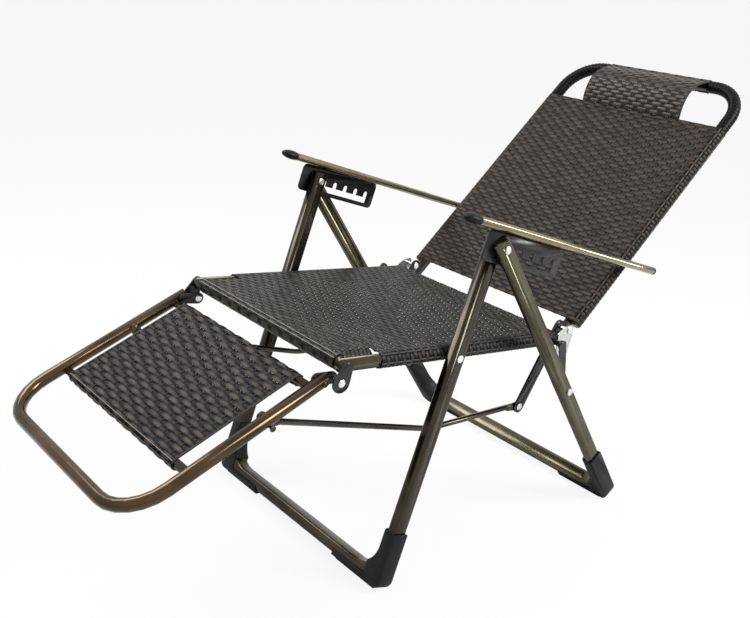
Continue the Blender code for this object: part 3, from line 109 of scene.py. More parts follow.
def joint_point(name: str) -> Vector:
    """Gives a joint's place in the side view.

    Args:
        name: The joint's name in the record.

    Returns:
        Its y and z in metres.
    """
    spot = next(j["pos_m"] for j in frame["joints"] if j["name"] == name)
    return Vector(spot[1:])


@dataclass
class Line:
    """A straight member of the side view: its start, the way it runs and the way up from it."""

    start: Vector
    along: Vector
    up: Vector

    def at(self, distance: float, height: float = 0.0) -> Vector:
        """Gives the side-view point at a distance along the line and a height above it."""
        return self.start + self.along * distance + self.up * height

    def in_space(self, x: float, distance: float, height: float = 0.0) -> Vector:
        """Gives the point in space at a distance across, along and above the line."""
        spot = self.at(distance, height)
        return Vector((x, spot.x, spot.y))


@dataclass
class SideView:
    """The seat, back and footrest as lines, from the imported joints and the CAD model's slopes."""

    seat_slope: float = -7.0
    back_slope: float = 41.4
    foot_slope: float = 21.2
    back_crossing: float = 0.357
    foot_rise: float = 0.017
    seat: Line = field(init=False)
    back: Line = field(init=False)
    foot: Line = field(init=False)

    def __post_init__(self) -> None:
        """Works out each member's line."""
        along = unit(self.seat_slope)
        self.seat = Line(joint_point("seat_fold"), along, left_of(along))
        crossing = self.seat.at(self.back_crossing)
        along = unit(self.back_slope)
        self.back = Line(crossing, along, left_of(along))
        along = unit(180 + self.foot_slope)
        up = -left_of(along)
        self.foot = Line(joint_point("footrest_drop") + up * self.foot_rise, along, up)


class Tone(Enum):
    """Colours written as they should render, in linear light."""

    BRONZE_DARK = (0.024, 0.018, 0.010)
    BRONZE = (0.080, 0.064, 0.038)
    # Painted shade: a darker copy of the bronze paint, for the front legs.
    DEEP_DARK = (0.012, 0.009, 0.005)
    DEEP = (0.056, 0.044, 0.027)
    # Painted light: a lighter olive copy of the bronze paint, for the rear legs.
    LIT_OLIVE_DARK = (0.050, 0.043, 0.023)
    LIT_OLIVE = (0.128, 0.114, 0.072)
    # A warmer copy of the bronze paint for the footrest tube: partly its own tone, partly painted
    # orange highlight.
    WARM_HIGHLIGHT_DARK = (0.030, 0.018, 0.008)
    WARM_HIGHLIGHT = (0.105, 0.066, 0.029)
    # Painted highlight: a much lighter, cream-gold copy of the bronze paint, for the armrests.
    ARM_DARK = (0.190, 0.155, 0.088)
    ARM = (0.360, 0.305, 0.190)
    STRAND_DARK = (0.024, 0.017, 0.012)
    STRAND = (0.092, 0.070, 0.052)
    FOOT_DARK = (0.022, 0.015, 0.011)
    FOOT = (0.105, 0.082, 0.063)
    SEAT_DARK = (0.018, 0.016, 0.012)
    SEAT = (0.078, 0.073, 0.058)
    CORD = (0.008, 0.006, 0.005)
    # Painted highlight: the pale tone of the thin lines along the hems.
    HIGHLIGHT_LINE = (0.34, 0.31, 0.26)
    BLACK = (0.012, 0.012, 0.013)
    SLATE_DARK = (0.003, 0.0034, 0.004)
    SLATE = (0.009, 0.010, 0.012)
    ZINC_DARK = (0.38, 0.39, 0.38)
    ZINC = (0.60, 0.61, 0.59)
    STEEL = (0.62, 0.62, 0.61)
    FLOOR = (0.93, 0.93, 0.93)
    FLOOR_PALE = (0.95, 0.95, 0.95)


@dataclass(frozen=True)
class Grain:
    """A noise: how fine it is and how many finer layers it has."""

    scale: float
    detail: float


@dataclass(frozen=True)
class Span:
    """The two ends of a range of numbers."""

    first: float
    last: float


@dataclass(frozen=True)
class Relief:
    """A bump: its full height in metres and its strength."""

    distance: float
    strength: float


WHOLE = Span(0.0, 1.0)
MIDDLE = Span(0.3, 0.7)


class NodeSheet:
    """A material's node tree with short calls for the nodes that the finishes share."""

    def __init__(self, name: str) -> None:
        """Starts a material with a Principled shader.

        Args:
            name: The material's name.
        """
        self.material = bpy.data.materials.new(name)
        self.material.use_nodes = True
        self.tree = self.material.node_tree
        self.shader = self.tree.nodes["Principled BSDF"]

    def node(self, kind: str, **settings: object) -> bpy.types.Node:
        """Adds a node and sets its properties.

        Args:
            kind: The node's type.
            **settings: Properties of the node with their values.

        Returns:
            The node.
        """
        made = self.tree.nodes.new(kind)
        for key, value in settings.items():
            setattr(made, key, value)
        return made

    def link(self, source: Socket, target: Socket) -> None:
        """Joins two sockets."""
        self.tree.links.new(source, target)

    def paint(self, colour: Socket) -> None:
        """Gives the shader its colour."""
        self.link(colour, self.shader.inputs["Base Color"])

    def polish(self, roughness: Socket) -> None:
        """Gives the shader its roughness."""
        self.link(roughness, self.shader.inputs["Roughness"])

    def plain(self, **values: float) -> None:
        """Sets uniform values on the shader's own sockets; underscores stand for spaces."""
        for key, value in values.items():
            self.shader.inputs[key.replace("_", " ")].default_value = value

    def place(self, scale: Triple = (1.0, 1.0, 1.0), attribute: str = "") -> Socket:
        """Gives scaled coordinates.

        Args:
            scale: Scale along each axis.
            attribute: Name of a vertex attribute, or nothing for Object coordinates.

        Returns:
            The vector socket to read.
        """
        mapping = self.node("ShaderNodeMapping")
        mapping.inputs["Scale"].default_value = scale
        if attribute:
            source = self.node("ShaderNodeAttribute", attribute_name=attribute).outputs["Vector"]
        else:
            source = self.node("ShaderNodeTexCoord").outputs["Object"]
        self.link(source, mapping.inputs["Vector"])
        return mapping.outputs["Vector"]

    def noise(self, where: Socket, grain: Grain) -> Socket:
        """Gives a noise value.

        Args:
            where: The coordinates to read it at.
            grain: Its scale and detail.

        Returns:
            The value socket.
        """
        noise = self.node("ShaderNodeTexNoise")
        noise.inputs["Scale"].default_value = grain.scale
        noise.inputs["Detail"].default_value = grain.detail
        self.link(where, noise.inputs["Vector"])
        return noise.outputs["Fac"]

    def ramp(self, value: Socket, stops: Span, low: Triple, high: Triple) -> Socket:
        """Turns a value into a colour between two.

        Args:
            value: The value socket, 0 to 1.
            stops: The values at which each colour is reached.
            low: The colour at the first stop.
            high: The colour at the last stop.

        Returns:
            The colour socket.
        """
        ramp = self.node("ShaderNodeValToRGB")
        first, last = ramp.color_ramp.elements
        first.position, first.color = stops.first, (*low, 1.0)
        last.position, last.color = stops.last, (*high, 1.0)
        self.link(value, ramp.inputs["Fac"])
        return ramp.outputs["Color"]

    def remap(self, value: Socket, result: Span, source: Span = MIDDLE) -> Socket:
        """Maps a value from one range to another.

        Args:
            value: The value socket.
            result: The range that it is mapped to.
            source: The range that it is mapped from.

        Returns:
            The mapped value's socket.
        """
        mapped = self.node("ShaderNodeMapRange")
        for ends, start, stop in ((source, "From Min", "From Max"), (result, "To Min", "To Max")):
            mapped.inputs[start].default_value = ends.first
            mapped.inputs[stop].default_value = ends.last
        self.link(value, mapped.inputs["Value"])
        return mapped.outputs["Result"]

    def multiply(self, first: Socket, second: Socket) -> Socket:
        """Multiplies two colours.

        Args:
            first: The first colour's socket.
            second: The second colour's socket.

        Returns:
            The product's socket.
        """
        mix = self.node("ShaderNodeMix", data_type="RGBA", blend_type="MULTIPLY")
        mix.inputs["Factor"].default_value = 1.0
        self.link(first, mix.inputs["A"])
        self.link(second, mix.inputs["B"])
        return mix.outputs["Result"]

    def bump(self, height: Socket, relief: Relief) -> None:
        """Raises the surface by a height value.

        Args:
            height: The value socket, 0 to 1.
            relief: How far it raises the surface, and how strongly.
        """
        bump = self.node("ShaderNodeBump")
        bump.inputs["Distance"].default_value = relief.distance
        bump.inputs["Strength"].default_value = relief.strength
        self.link(height, bump.inputs["Height"])
        self.link(bump.outputs["Normal"], self.shader.inputs["Normal"])


@dataclass(frozen=True)
class BronzePaint:
    """Glossy dark bronze paint on tube: soft colour drift, fine orange peel and faint rubbing."""

    name: str = "bronze_paint_finish"
    dark: Tone = Tone.BRONZE_DARK
    light: Tone = Tone.BRONZE
    metallic: float = 0.85
    drift: Grain = Grain(9.0, 4.0)
    drift_stops: Span = Span(0.30, 0.72)
    rubbing: Grain = Grain(60.0, 5.0)
    roughness: Span = Span(0.13, 0.24)
    peel: Grain = Grain(700.0, 1.0)
    peel_relief: Relief = Relief(0.00003, 0.2)
    coat: float = 0.15
    coat_roughness: float = 0.08

    def lay(self, sheet: NodeSheet) -> None:
        """Lays the nodes.

        Args:
            sheet: The material's node sheet.
        """
        where = sheet.place()
        drift = sheet.noise(where, self.drift)
        sheet.paint(sheet.ramp(drift, self.drift_stops, self.dark.value, self.light.value))
        sheet.polish(sheet.remap(sheet.noise(where, self.rubbing), self.roughness))
        sheet.bump(sheet.noise(where, self.peel), self.peel_relief)
        sheet.plain(Metallic=self.metallic)
        sheet.plain(Coat_Weight=self.coat, Coat_Roughness=self.coat_roughness)


@dataclass(frozen=True)
class Strand:
    """Flat extruded rattan strand: grooves along it, colour changes by row, and painted shade that
    darkens its dips and low flanks.
    """

    name: str
    dark: Tone
    light: Tone
    row_pitch: float
    crest: float = 0.0020
    roughness: Span = Span(0.46, 0.30)
    specular: float = 0.12
    grain: Grain = Grain(1.0, 2.0)
    groove_scale: Triple = (6.0, 900.0, 1.0)
    groove_stops: Span = Span(0.30, 0.65)
    groove_shade: float = 0.62
    patch_scale: float = 22.0
    patches_per_row: float = 0.55
    patch_stops: Span = Span(0.28, 0.62)
    dip_shade_stops: Span = Span(0.0, 0.9)
    dip_shade_darkest: float = 0.02
    relief: Relief = Relief(0.00035, 0.8)

    def lay(self, sheet: NodeSheet) -> None:
        """Lays the nodes on the places that the weave notes: along, across and height.

        Args:
            sheet: The material's node sheet.
        """
        grooves = sheet.noise(sheet.place(self.groove_scale, STRAND_NOTE), self.grain)
        patch_scale = (self.patch_scale, self.patches_per_row / self.row_pitch, 0.0)
        patches = sheet.noise(sheet.place(patch_scale, STRAND_NOTE), self.grain)
        tone = sheet.ramp(patches, self.patch_stops, self.dark.value, self.light.value)
        shade = sheet.ramp(grooves, self.groove_stops, even(self.groove_shade), even(1.0))
        # Painted shade: the lower a point lies in the weave, the darker it is painted, down to near
        # black in the dips between rows.
        split = sheet.node("ShaderNodeSeparateXYZ")
        sheet.link(sheet.place(attribute=STRAND_NOTE), split.inputs["Vector"])
        height = sheet.remap(split.outputs["Z"], WHOLE, Span(self.crest / 2, self.crest))
        painted_dip_shade = sheet.ramp(height, self.dip_shade_stops, even(self.dip_shade_darkest), even(1.0))
        sheet.paint(sheet.multiply(sheet.multiply(tone, shade), painted_dip_shade))
        sheet.polish(sheet.remap(grooves, self.roughness))
        sheet.bump(grooves, self.relief)
        sheet.plain(Specular_IOR_Level=self.specular)


@dataclass(frozen=True)
class Cord:
    """Thin cord with fine ribs: warp cords, edge bindings and pale lines of painted highlight."""

    name: str
    tone: Tone
    roughness: Span = Span(0.60, 0.45)
    rib_scale: float = 900.0
    ribs: Grain = Grain(1.0, 2.0)
    rib_stops: Span = Span(0.35, 0.65)
    groove_share: float = 0.55
    relief: Relief = Relief(0.0002, 0.6)

    def lay(self, sheet: NodeSheet) -> None:
        """Lays the nodes.

        Args:
            sheet: The material's node sheet.
        """
        ribs = sheet.noise(sheet.place(even(self.rib_scale)), self.ribs)
        groove = tuple(part * self.groove_share for part in self.tone.value)
        sheet.paint(sheet.ramp(ribs, self.rib_stops, groove, self.tone.value))
        sheet.polish(sheet.remap(ribs, self.roughness))
        sheet.bump(ribs, self.relief)


@dataclass(frozen=True)
class Moulded:
    """Moulded plastic with a fine leathery grain."""

    name: str = "slate_plastic_finish"
    cloud: Grain = Grain(35.0, 5.0)
    leather: Grain = Grain(1500.0, 2.0)
    roughness: Span = Span(0.38, 0.55)
    relief: Relief = Relief(0.0002, 0.5)
    specular: float = 0.2

    def lay(self, sheet: NodeSheet) -> None:
        """Lays the nodes.

        Args:
            sheet: The material's node sheet.
        """
        where = sheet.place()
        cloud = sheet.noise(where, self.cloud)
        sheet.paint(sheet.ramp(cloud, MIDDLE, Tone.SLATE_DARK.value, Tone.SLATE.value))
        leather = sheet.noise(where, self.leather)
        sheet.polish(sheet.remap(leather, self.roughness))
        sheet.bump(leather, self.relief)
        sheet.plain(Specular_IOR_Level=self.specular)


@dataclass(frozen=True)
class Metal:
    """Painted, plated or bare metal with brushing or a crystalline bloom."""

    name: str
    dark: Tone
    light: Tone
    stretch: Triple
    metallic: float
    roughness: Span
    brushing: Grain = Grain(1.0, 4.0)
    relief: Relief = Relief(0.00008, 0.4)

    def lay(self, sheet: NodeSheet) -> None:
        """Lays the nodes.

        Args:
            sheet: The material's node sheet.
        """
        brushed = sheet.noise(sheet.place(self.stretch), self.brushing)
        sheet.paint(sheet.ramp(brushed, MIDDLE, self.dark.value, self.light.value))
        sheet.polish(sheet.remap(brushed, self.roughness))
        sheet.bump(brushed, self.relief)
        sheet.plain(Metallic=self.metallic)


@dataclass(frozen=True)
class StudioFloor:
    """Matt white ground that is mostly lit of itself where the camera sees it."""

    name: str = "floor_white"
    cloud: Grain = Grain(2.0, 2.0)
    roughness: float = 0.9
    glow_share: float = 0.88

    def lay(self, sheet: NodeSheet) -> None:
        """Lays the nodes.

        Args:
            sheet: The material's node sheet.
        """
        cloud = sheet.noise(sheet.place(), self.cloud)
        sheet.paint(sheet.ramp(cloud, WHOLE, Tone.FLOOR.value, Tone.FLOOR_PALE.value))
        sheet.plain(Roughness=self.roughness, Specular_IOR_Level=0.0)
        glow = sheet.node("ShaderNodeEmission")
        mix = sheet.node("ShaderNodeMixShader")
        seen = sheet.node("ShaderNodeLightPath").outputs["Is Camera Ray"]
        share = sheet.node("ShaderNodeMath", operation="MULTIPLY")
        share.inputs[1].default_value = self.glow_share
        sheet.link(seen, share.inputs[0])
        sheet.link(share.outputs[0], mix.inputs["Fac"])
        sheet.link(sheet.shader.outputs["BSDF"], mix.inputs[1])
        sheet.link(glow.outputs["Emission"], mix.inputs[2])
        sheet.link(mix.outputs["Shader"], sheet.tree.nodes["Material Output"].inputs["Surface"])


Finish = BronzePaint | Strand | Cord | Moulded | Metal | StudioFloor


@cache
def material_of(finish: Finish) -> bpy.types.Material:
    """Makes a finish's material, once for each finish.

    Args:
        finish: The finish.

    Returns:
        Its material.
    """
    sheet = NodeSheet(finish.name)
    finish.lay(sheet)
    return sheet.material


BRONZE = BronzePaint()
# Painted shade: the front legs' darker copy of the bronze paint.
SHADED_BRONZE = BronzePaint("shaded_bronze_finish", Tone.DEEP_DARK, Tone.DEEP)
# Painted light: the rear legs' lighter olive copy of the bronze paint.
LIT_OLIVE_BRONZE = BronzePaint("lit_olive_bronze_finish", Tone.LIT_OLIVE_DARK, Tone.LIT_OLIVE)
# The footrest tube's warmer copy of the bronze: partly its own tone, partly painted orange
# highlight.
WARM_HIGHLIGHT_BRONZE = BronzePaint("warm_highlight_bronze_finish", Tone.WARM_HIGHLIGHT_DARK, Tone.WARM_HIGHLIGHT)
# Painted highlight: the armrests' much lighter copy of the bronze paint.
ARM_HIGHLIGHT_BRONZE = BronzePaint("arm_highlight_bronze_finish", Tone.ARM_DARK, Tone.ARM)
SLATE = Moulded()
BLACK_PAINT = Metal(
    "black_paint_finish", Tone.BLACK, Tone.SLATE_DARK, even(60.0), 0.3, Span(0.25, 0.40)
)
ZINC_PLATE = Metal("zinc_finish", Tone.ZINC_DARK, Tone.ZINC, even(140.0), 0.9, Span(0.28, 0.45))
BRIGHT_STEEL = Metal(
    "steel_finish", Tone.ZINC, Tone.STEEL, (30.0, 900.0, 900.0), 1.0, Span(0.16, 0.30)
)
BROWN_STRAND = Strand("brown_strand_finish", Tone.FOOT_DARK, Tone.FOOT, 0.0107, crest=0.0025)
BACK_STRAND = Strand("back_strand_finish", Tone.STRAND_DARK, Tone.STRAND, 0.0096)
HEAD_STRAND = replace(
    BACK_STRAND, name="head_strand_finish", roughness=Span(0.34, 0.18), specular=0.24
)
SEAT_STRAND = Strand("seat_strand_finish", Tone.SEAT_DARK, Tone.SEAT, 0.0096)
DARK_CORD = Cord("dark_cord_finish", Tone.CORD)
# Painted highlight: pale cords laid along the hems' rolls.
HIGHLIGHT_LINE = Cord("highlight_line_finish", Tone.HIGHLIGHT_LINE, Span(0.45, 0.30))


def deselect() -> None:
    """Leaves edit mode and deselects everything."""
    if bpy.context.object and bpy.context.object.mode != "OBJECT":
        bpy.ops.object.mode_set(mode="OBJECT")
    bpy.ops.object.select_all(action="DESELECT")


def select_only(*pieces: bpy.types.Object) -> None:
    """Selects pieces and makes the first one active.

    Args:
        *pieces: The pieces.
    """
    deselect()
    for piece in pieces:
        piece.select_set(True)
    bpy.context.view_layer.objects.active = pieces[0]


def repeat(piece: bpy.types.Object, count: int, step: Triple) -> None:
    """Copies a piece's mesh in a row.

    Args:
        piece: The piece.
        count: Number in the row.
        step: The move from one to the next.
    """
    row = piece.modifiers.new("row", "ARRAY")
    row.use_relative_offset = False
    row.use_constant_offset = True
    row.constant_offset_displace = step
    row.count = count
    select_only(piece)
    bpy.ops.object.modifier_apply(modifier=row.name)


def smooth(piece: bpy.types.Object, degrees: float) -> None:
    """Shades a piece smooth, with sharp edges above an angle."""
    select_only(piece)
    bpy.ops.object.shade_smooth_by_angle(angle=math.radians(degrees))


def rod(
    length: float, width: float, thickness: float, sides: int, cuts: int, along_x: bool
) -> bpy.types.Object:
    """Makes a straight rod with an oval section, cut into short lengths.

    Args:
        length: Its length.
        width: Its width, in the plane of the panel.
        thickness: Its thickness, square to the panel.
        sides: Faces round it.
        cuts: Number of cuts along it.
        along_x: True for a rod along x, False for one along y.

    Returns:
        The rod, its middle at the origin.
    """
    deselect()
    turn = (0.0, math.pi / 2, 0.0) if along_x else (math.pi / 2, 0.0, 0.0)
    bpy.ops.mesh.primitive_cylinder_add(vertices=sides, radius=0.5, depth=1.0, rotation=turn)
    piece = bpy.context.object
    bpy.ops.object.transform_apply(location=True, rotation=True, scale=True)
    piece.scale = (length, width, thickness) if along_x else (width, length, thickness)
    bpy.ops.object.transform_apply(location=True, rotation=True, scale=True)
    axis = 0 if along_x else 1
    bpy.ops.object.mode_set(mode="EDIT")
    bpy.ops.mesh.select_mode(type="EDGE")
    bpy.ops.mesh.select_all(action="DESELECT")
    bpy.ops.object.mode_set(mode="OBJECT")
    points = piece.data.vertices
    for edge in piece.data.edges:
        first, second = (points[i].co for i in edge.vertices)
        edge.select = abs(first[axis] - second[axis]) > length / 2
    bpy.ops.object.mode_set(mode="EDIT")
    bpy.ops.mesh.subdivide(number_cuts=cuts)
    bpy.ops.object.mode_set(mode="OBJECT")
    return piece


def write_notes(piece: bpy.types.Object, notes: list[Vector]) -> None:
    """Notes each point's place on the flat strands, for the strand finishes to read.

    Args:
        piece: The piece.
        notes: Distance along the strand, across the rows and height, for each point.
    """
    flat = piece.data.attributes.new(STRAND_NOTE, "FLOAT_VECTOR", "POINT")
    for note, value in zip(flat.data, notes):
        note.vector = value


class Wave(Enum):
    """How a strand rises and falls over the warp cords."""

    ROUND = "round"
    BRICK = "brick"


@dataclass(frozen=True)
class Lattice:
    """How a panel is woven: its spacings, the strand's section and rise, and the cord's radius."""

    row_pitch: float
    period: float
    width: float
    thickness: float
    lift: float
    cord: float
    wave: Wave
    steps: int = 10
    round_power: float = 0.75
    dip_width: float = 0.13

    def height(self, along: float, phase: float) -> float:
        """Gives how far a strand lies above the cords' plane.

        Args:
            along: Distance along the strand.
            phase: 0 or 0.5 of a period.

        Returns:
            The height in metres.
        """
        share = (along / self.period + phase) % 1.0
        if self.wave is Wave.ROUND:
            swing = math.cos(2 * math.pi * share)
            return self.lift * math.copysign(abs(swing) ** self.round_power, swing)
        dip = math.exp(-(((share - 0.5) / self.dip_width) ** 2))
        return self.lift * (1.0 - 2.0 * dip)


BRICK_LATTICE = Lattice(
    row_pitch=0.0096, period=0.0366, width=0.0104, thickness=0.0024, lift=0.0010,
    cord=0.0017, wave=Wave.BRICK,
)
ROUND_LATTICE = Lattice(
    row_pitch=0.0107, period=0.0610, width=0.0116, thickness=0.0028, lift=0.0013,
    cord=0.0020, wave=Wave.ROUND, steps=14,
)


@dataclass(frozen=True)
class SideCord:
    """A dark cord along each side of a cloth: its place from the edge, radius and steps."""

    name: str
    inset: float
    height: float
    radius: float
    steps: int


@dataclass
class Cloth:
    """A woven cloth: strands across, warp cords along, both carried onto a curved sheet.

    Its ends are distances along the cords, and half_length goes to each side. Farther out than
    calm_from, the strands rise and fall by the share edge_calm.
    """

    name: str
    lattice: Lattice
    half_length: float
    ends: Span
    place: Placing
    finish: Strand
    edge_calm: float = 1.0
    calm_from: float = 0.25

    def build(self) -> bpy.types.Object:
        """Builds the cloth.

        Returns:
            The finished piece, in place.
        """
        parts = (self.strands(0), self.strands(1), self.warp())
        select_only(*parts)
        bpy.ops.object.join()
        cloth = parts[0]
        cloth.name = self.name
        points = cloth.data.vertices
        write_notes(cloth, [point.co.copy() for point in points])
        for point in points:
            point.co = self.place(*point.co)
        smooth(cloth, STRAND_ANGLE)
        return cloth

    def strands(self, first_row: int) -> bpy.types.Object:
        """Builds every other strand. The two sets are half a repeat apart.

        Args:
            first_row: The first row of the set, 0 or 1.

        Returns:
            The strands, still flat.
        """
        weave = self.lattice
        length = 2 * self.half_length
        cuts = round(length / weave.period * weave.steps) - 1
        span = self.ends.last - self.ends.first
        rows = round(span / weave.row_pitch)
        pitch = span / rows
        strand = rod(length, weave.width, weave.thickness, STRAND_SIDES, cuts, True)
        for point in strand.data.vertices:
            calm = self.edge_calm if abs(point.co.x) > self.calm_from else 1.0
            point.co.z += weave.height(point.co.x, first_row / 2) * calm
            point.co.y += self.ends.first + (first_row + 0.5) * pitch
        repeat(strand, (rows - first_row + 1) // 2, (0.0, 2 * pitch, 0.0))
        strand.data.materials.append(material_of(self.finish))
        return strand

    def warp(self) -> bpy.types.Object:
        """Builds the warp cords, two to a repeat.

        Returns:
            The cords, still flat.
        """
        step = self.lattice.period / 2
        cords = 2 * int(self.half_length / step) + 1
        span = self.ends.last - self.ends.first
        width = 2 * self.lattice.cord
        warp = rod(span, width, width, WARP_SIDES, round(span / WARP_CUT), False)
        for point in warp.data.vertices:
            point.co.y += (self.ends.first + self.ends.last) / 2
            point.co.x -= step * (cords - 1) / 2
        repeat(warp, cords, (step, 0.0, 0.0))
        warp.data.materials.append(material_of(DARK_CORD))
        return warp

    def bind_sides(self, cords: tuple[SideCord, ...], half: float, body: str) -> None:
        """Lays dark cords along both sides.

        Args:
            cords: The cords of one side.
            half: Distance of the cloth's edge from the chair's middle.
            body: The body they ride on.
        """
        first, span = self.ends.first, self.ends.last - self.ends.first
        for side, sign in SIDES:
            for cord in cords:
                across = sign * (half - cord.inset)
                alongs = [first + span * i / cord.steps for i in range(cord.steps + 1)]
                spots = [self.place(across, along, cord.height) for along in alongs]
                keep(edge_line(cord.name + side, cord.radius, spots, DARK_CORD), body)


def edge_line(name: str, radius: float, spots: list[Vector], finish: Cord) -> bpy.types.Object:
    """Makes a thin cord through points in space.

    Args:
        name: The piece's name.
        radius: The cord's radius.
        spots: The points that it follows.
        finish: Its finish.

    Returns:
        The finished cord.
    """
    total = sum((b - a).length for a, b in zip(spots, spots[1:]))
    cord = rod(total, 2 * radius, 2 * radius, EDGE_SIDES, len(spots) - 2, True)
    last = len(spots) - 1
    for point in cord.data.vertices:
        i = round((point.co.x / total + 0.5) * last)
        ahead = spots[min(i + 1, last)] - spots[max(i - 1, 0)]
        turn = ahead.normalized().to_track_quat("X", "Z")
        point.co = spots[i] + turn @ Vector((0.0, point.co.y, point.co.z))
    cord.data.materials.append(material_of(finish))
    cord.name = name
    smooth(cord, STRAND_ANGLE)
    return cord


def keep(
    piece: bpy.types.Object, body: str, replaced: tuple[str, ...] = ()
) -> None:
    """Hands a finished piece to the frame.

    Args:
        piece: The finished piece.
        body: The body it rides on.
        replaced: CAD nodes that it stands for.
    """
    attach(piece, body)
    if replaced:
        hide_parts(*replaced)
    LOG.info("%s rides on %s with %d faces", piece.name, body, len(piece.data.polygons))


@dataclass
class Rails:
    """The two side rails of a panel, with the cloth that is wrapped round them."""

    line: Line
    rail_x: float = 0.250
    radius: float = 0.0140
    turn: float = 250.0
    edge_calm: float = 0.5

    def build_panel(self, body: str, ends: Span, finish: Strand) -> None:
        """Builds the panel that is wrapped round both rails.

        Args:
            body: The body it rides on, which names it.
            ends: Where it starts and ends along the rails.
            finish: Its strands' finish.
        """
        half = self.rail_x + self.radius * math.radians(self.turn)
        cloth = Cloth(
            body + "_cloth", BRICK_LATTICE, half, ends, self.place, finish, self.edge_calm
        )
        keep(cloth.build(), body, replaced=(body + "_weave",))

    def place(self, across: float, along: float, height: float) -> Vector:
        """Carries one point of the flat cloth round the rails.

        Args:
            across: Distance along the strand from the chair's middle.
            along: Distance along the rails.
            height: Height above the cloth.

        Returns:
            The point in space.
        """
        beyond = abs(across) - self.rail_x
        if beyond <= 0:
            return self.line.in_space(across, along, self.radius + height)
        around = round_tube(beyond, self.radius, height)
        x = math.copysign(1.0, across) * (self.rail_x + around.x)
        return self.line.in_space(x, along, around.y)


@dataclass(frozen=True)
class TurnedDown:
    """A cloth's side view: flat along a line, then turned down round the bars at its ends.

    Each bar has its place along the line, and 1 at the far end or -1 at the near end.
    """

    line: Line
    radius: float
    bars: tuple[tuple[float, int], ...]
    drop: float = 0.0

    def at(self, along: float, height: float) -> Vector:
        """Gives a point of the side view.

        Args:
            along: Distance along the cloth.
            height: Height above it.

        Returns:
            The point's y and z.
        """
        for bar, sign in self.bars:
            gone = along - bar
            if sign * gone > 0:
                around = round_tube(gone, self.radius, height)
                return self.line.at(bar + around.x, around.y - self.drop)
        return self.line.at(along, self.radius + height - self.drop)


@dataclass
class WovenSeat:
    """Seat panel, wrapped round both rails, with a hem round the front bar."""

    side: SideView
    panel: Span = Span(-0.170, 0.3139)
    bar_at: float = -0.2475
    hem_half: float = 0.2355
    hem_turn: float = 230.0
    tuck_from: float = 0.218
    tuck_drop: float = 0.012
    tuck_reach: float = 0.020
    highlight_lines_past: tuple[float, ...] = (0.006, 0.013)
    line_height: float = 0.0022
    line_radius: float = 0.0009
    rails: Rails = field(init=False)
    way: TurnedDown = field(init=False)

    def __post_init__(self) -> None:
        """Finds the seat's rails and the way of its hem."""
        self.rails = Rails(self.side.seat)
        self.way = TurnedDown(self.side.seat, self.rails.radius, ((self.bar_at, -1),))

    def build(self) -> None:
        """Builds the panel, its front hem and two pale lines along the hem, which are painted
        highlight.
        """
        self.rails.build_panel("seat", self.panel, SEAT_STRAND)
        low = self.bar_at - self.rails.radius * math.radians(self.hem_turn)
        ends = Span(low, self.panel.first)
        hem = Cloth(
            "seat_front_hem", BRICK_LATTICE, self.hem_half, ends, self.hem_place, SEAT_STRAND
        )
        keep(hem.build(), "seat")
        # Painted highlight: two thin pale cords along the hem's roll round the front bar.
        for number, past in enumerate(self.highlight_lines_past):
            spot = self.way.at(self.bar_at - past, self.line_height)
            line = across_chair(spot, self.hem_half)
            keep(edge_line(f"seat_hem_line_{number}", self.line_radius, line, HIGHLIGHT_LINE), "seat")

    def hem_place(self, across: float, along: float, height: float) -> Vector:
        """Carries one point of the hem, whose sides are tucked down beside the rails.

        Args:
            across: Distance from the chair's middle.
            along: Distance along the cloth.
            height: Height above it.

        Returns:
            The point in space.
        """
        side = max(0.0, abs(across) - self.tuck_from) / (self.hem_half - self.tuck_from)
        clear_of_bar = min(1.0, max(0.0, (along - self.bar_at) / self.tuck_reach))
        spot = self.way.at(along, height - self.tuck_drop * side**2 * clear_of_bar)
        return Vector((across, spot.x, spot.y))


@dataclass
class WovenBack:
    """Back panel wrapped round both rails, with a hem round the upper crossbar.

    It also holds the sizes of the bent tube above the panel, and half of the headrest's width.
    """

    side: SideView
    panel: Span = Span(0.0341, 0.6115)
    top_bar: float = 0.7346
    bend: float = 0.085
    head_half: float = 0.145
    crossbar: float = 0.601
    bar_radius: float = 0.0102
    hem_half: float = 0.2355
    hem_turn: float = 240.0
    binding_half: float = 0.236
    binding_past: float = 0.0005
    binding_drop: float = 0.0035
    binding_radius: float = 0.0016
    rails: Rails = field(init=False)
    lift: float = field(init=False)

    def __post_init__(self) -> None:
        """Finds the back's rails and how high the hem lies over the crossbar's middle."""
        self.rails = Rails(self.side.back)
        self.lift = self.rails.radius - self.bar_radius

    def build(self) -> None:
        """Builds the panel, its top hem and the dark binding along the hem's edge."""
        self.rails.build_panel("back", self.panel, BACK_STRAND)
        ends = Span(0.0, self.bar_radius * math.radians(self.hem_turn))
        hem = Cloth("back_top_hem", BRICK_LATTICE, self.hem_half, ends, self.hem_place, BACK_STRAND)
        keep(hem.build(), "back")
        edge = self.panel.last + self.binding_past
        spot = self.side.back.at(edge, self.rails.radius - self.binding_drop)
        line = across_chair(spot, self.binding_half)
        keep(edge_line("back_top_binding", self.binding_radius, line, DARK_CORD), "back")

    def hem_place(self, across: float, along: float, height: float) -> Vector:
        """Carries one point of the flat hem round the crossbar."""
        around = round_tube(along, self.bar_radius, height)
        return self.side.back.in_space(across, self.crossbar + around.x, self.lift + around.y)


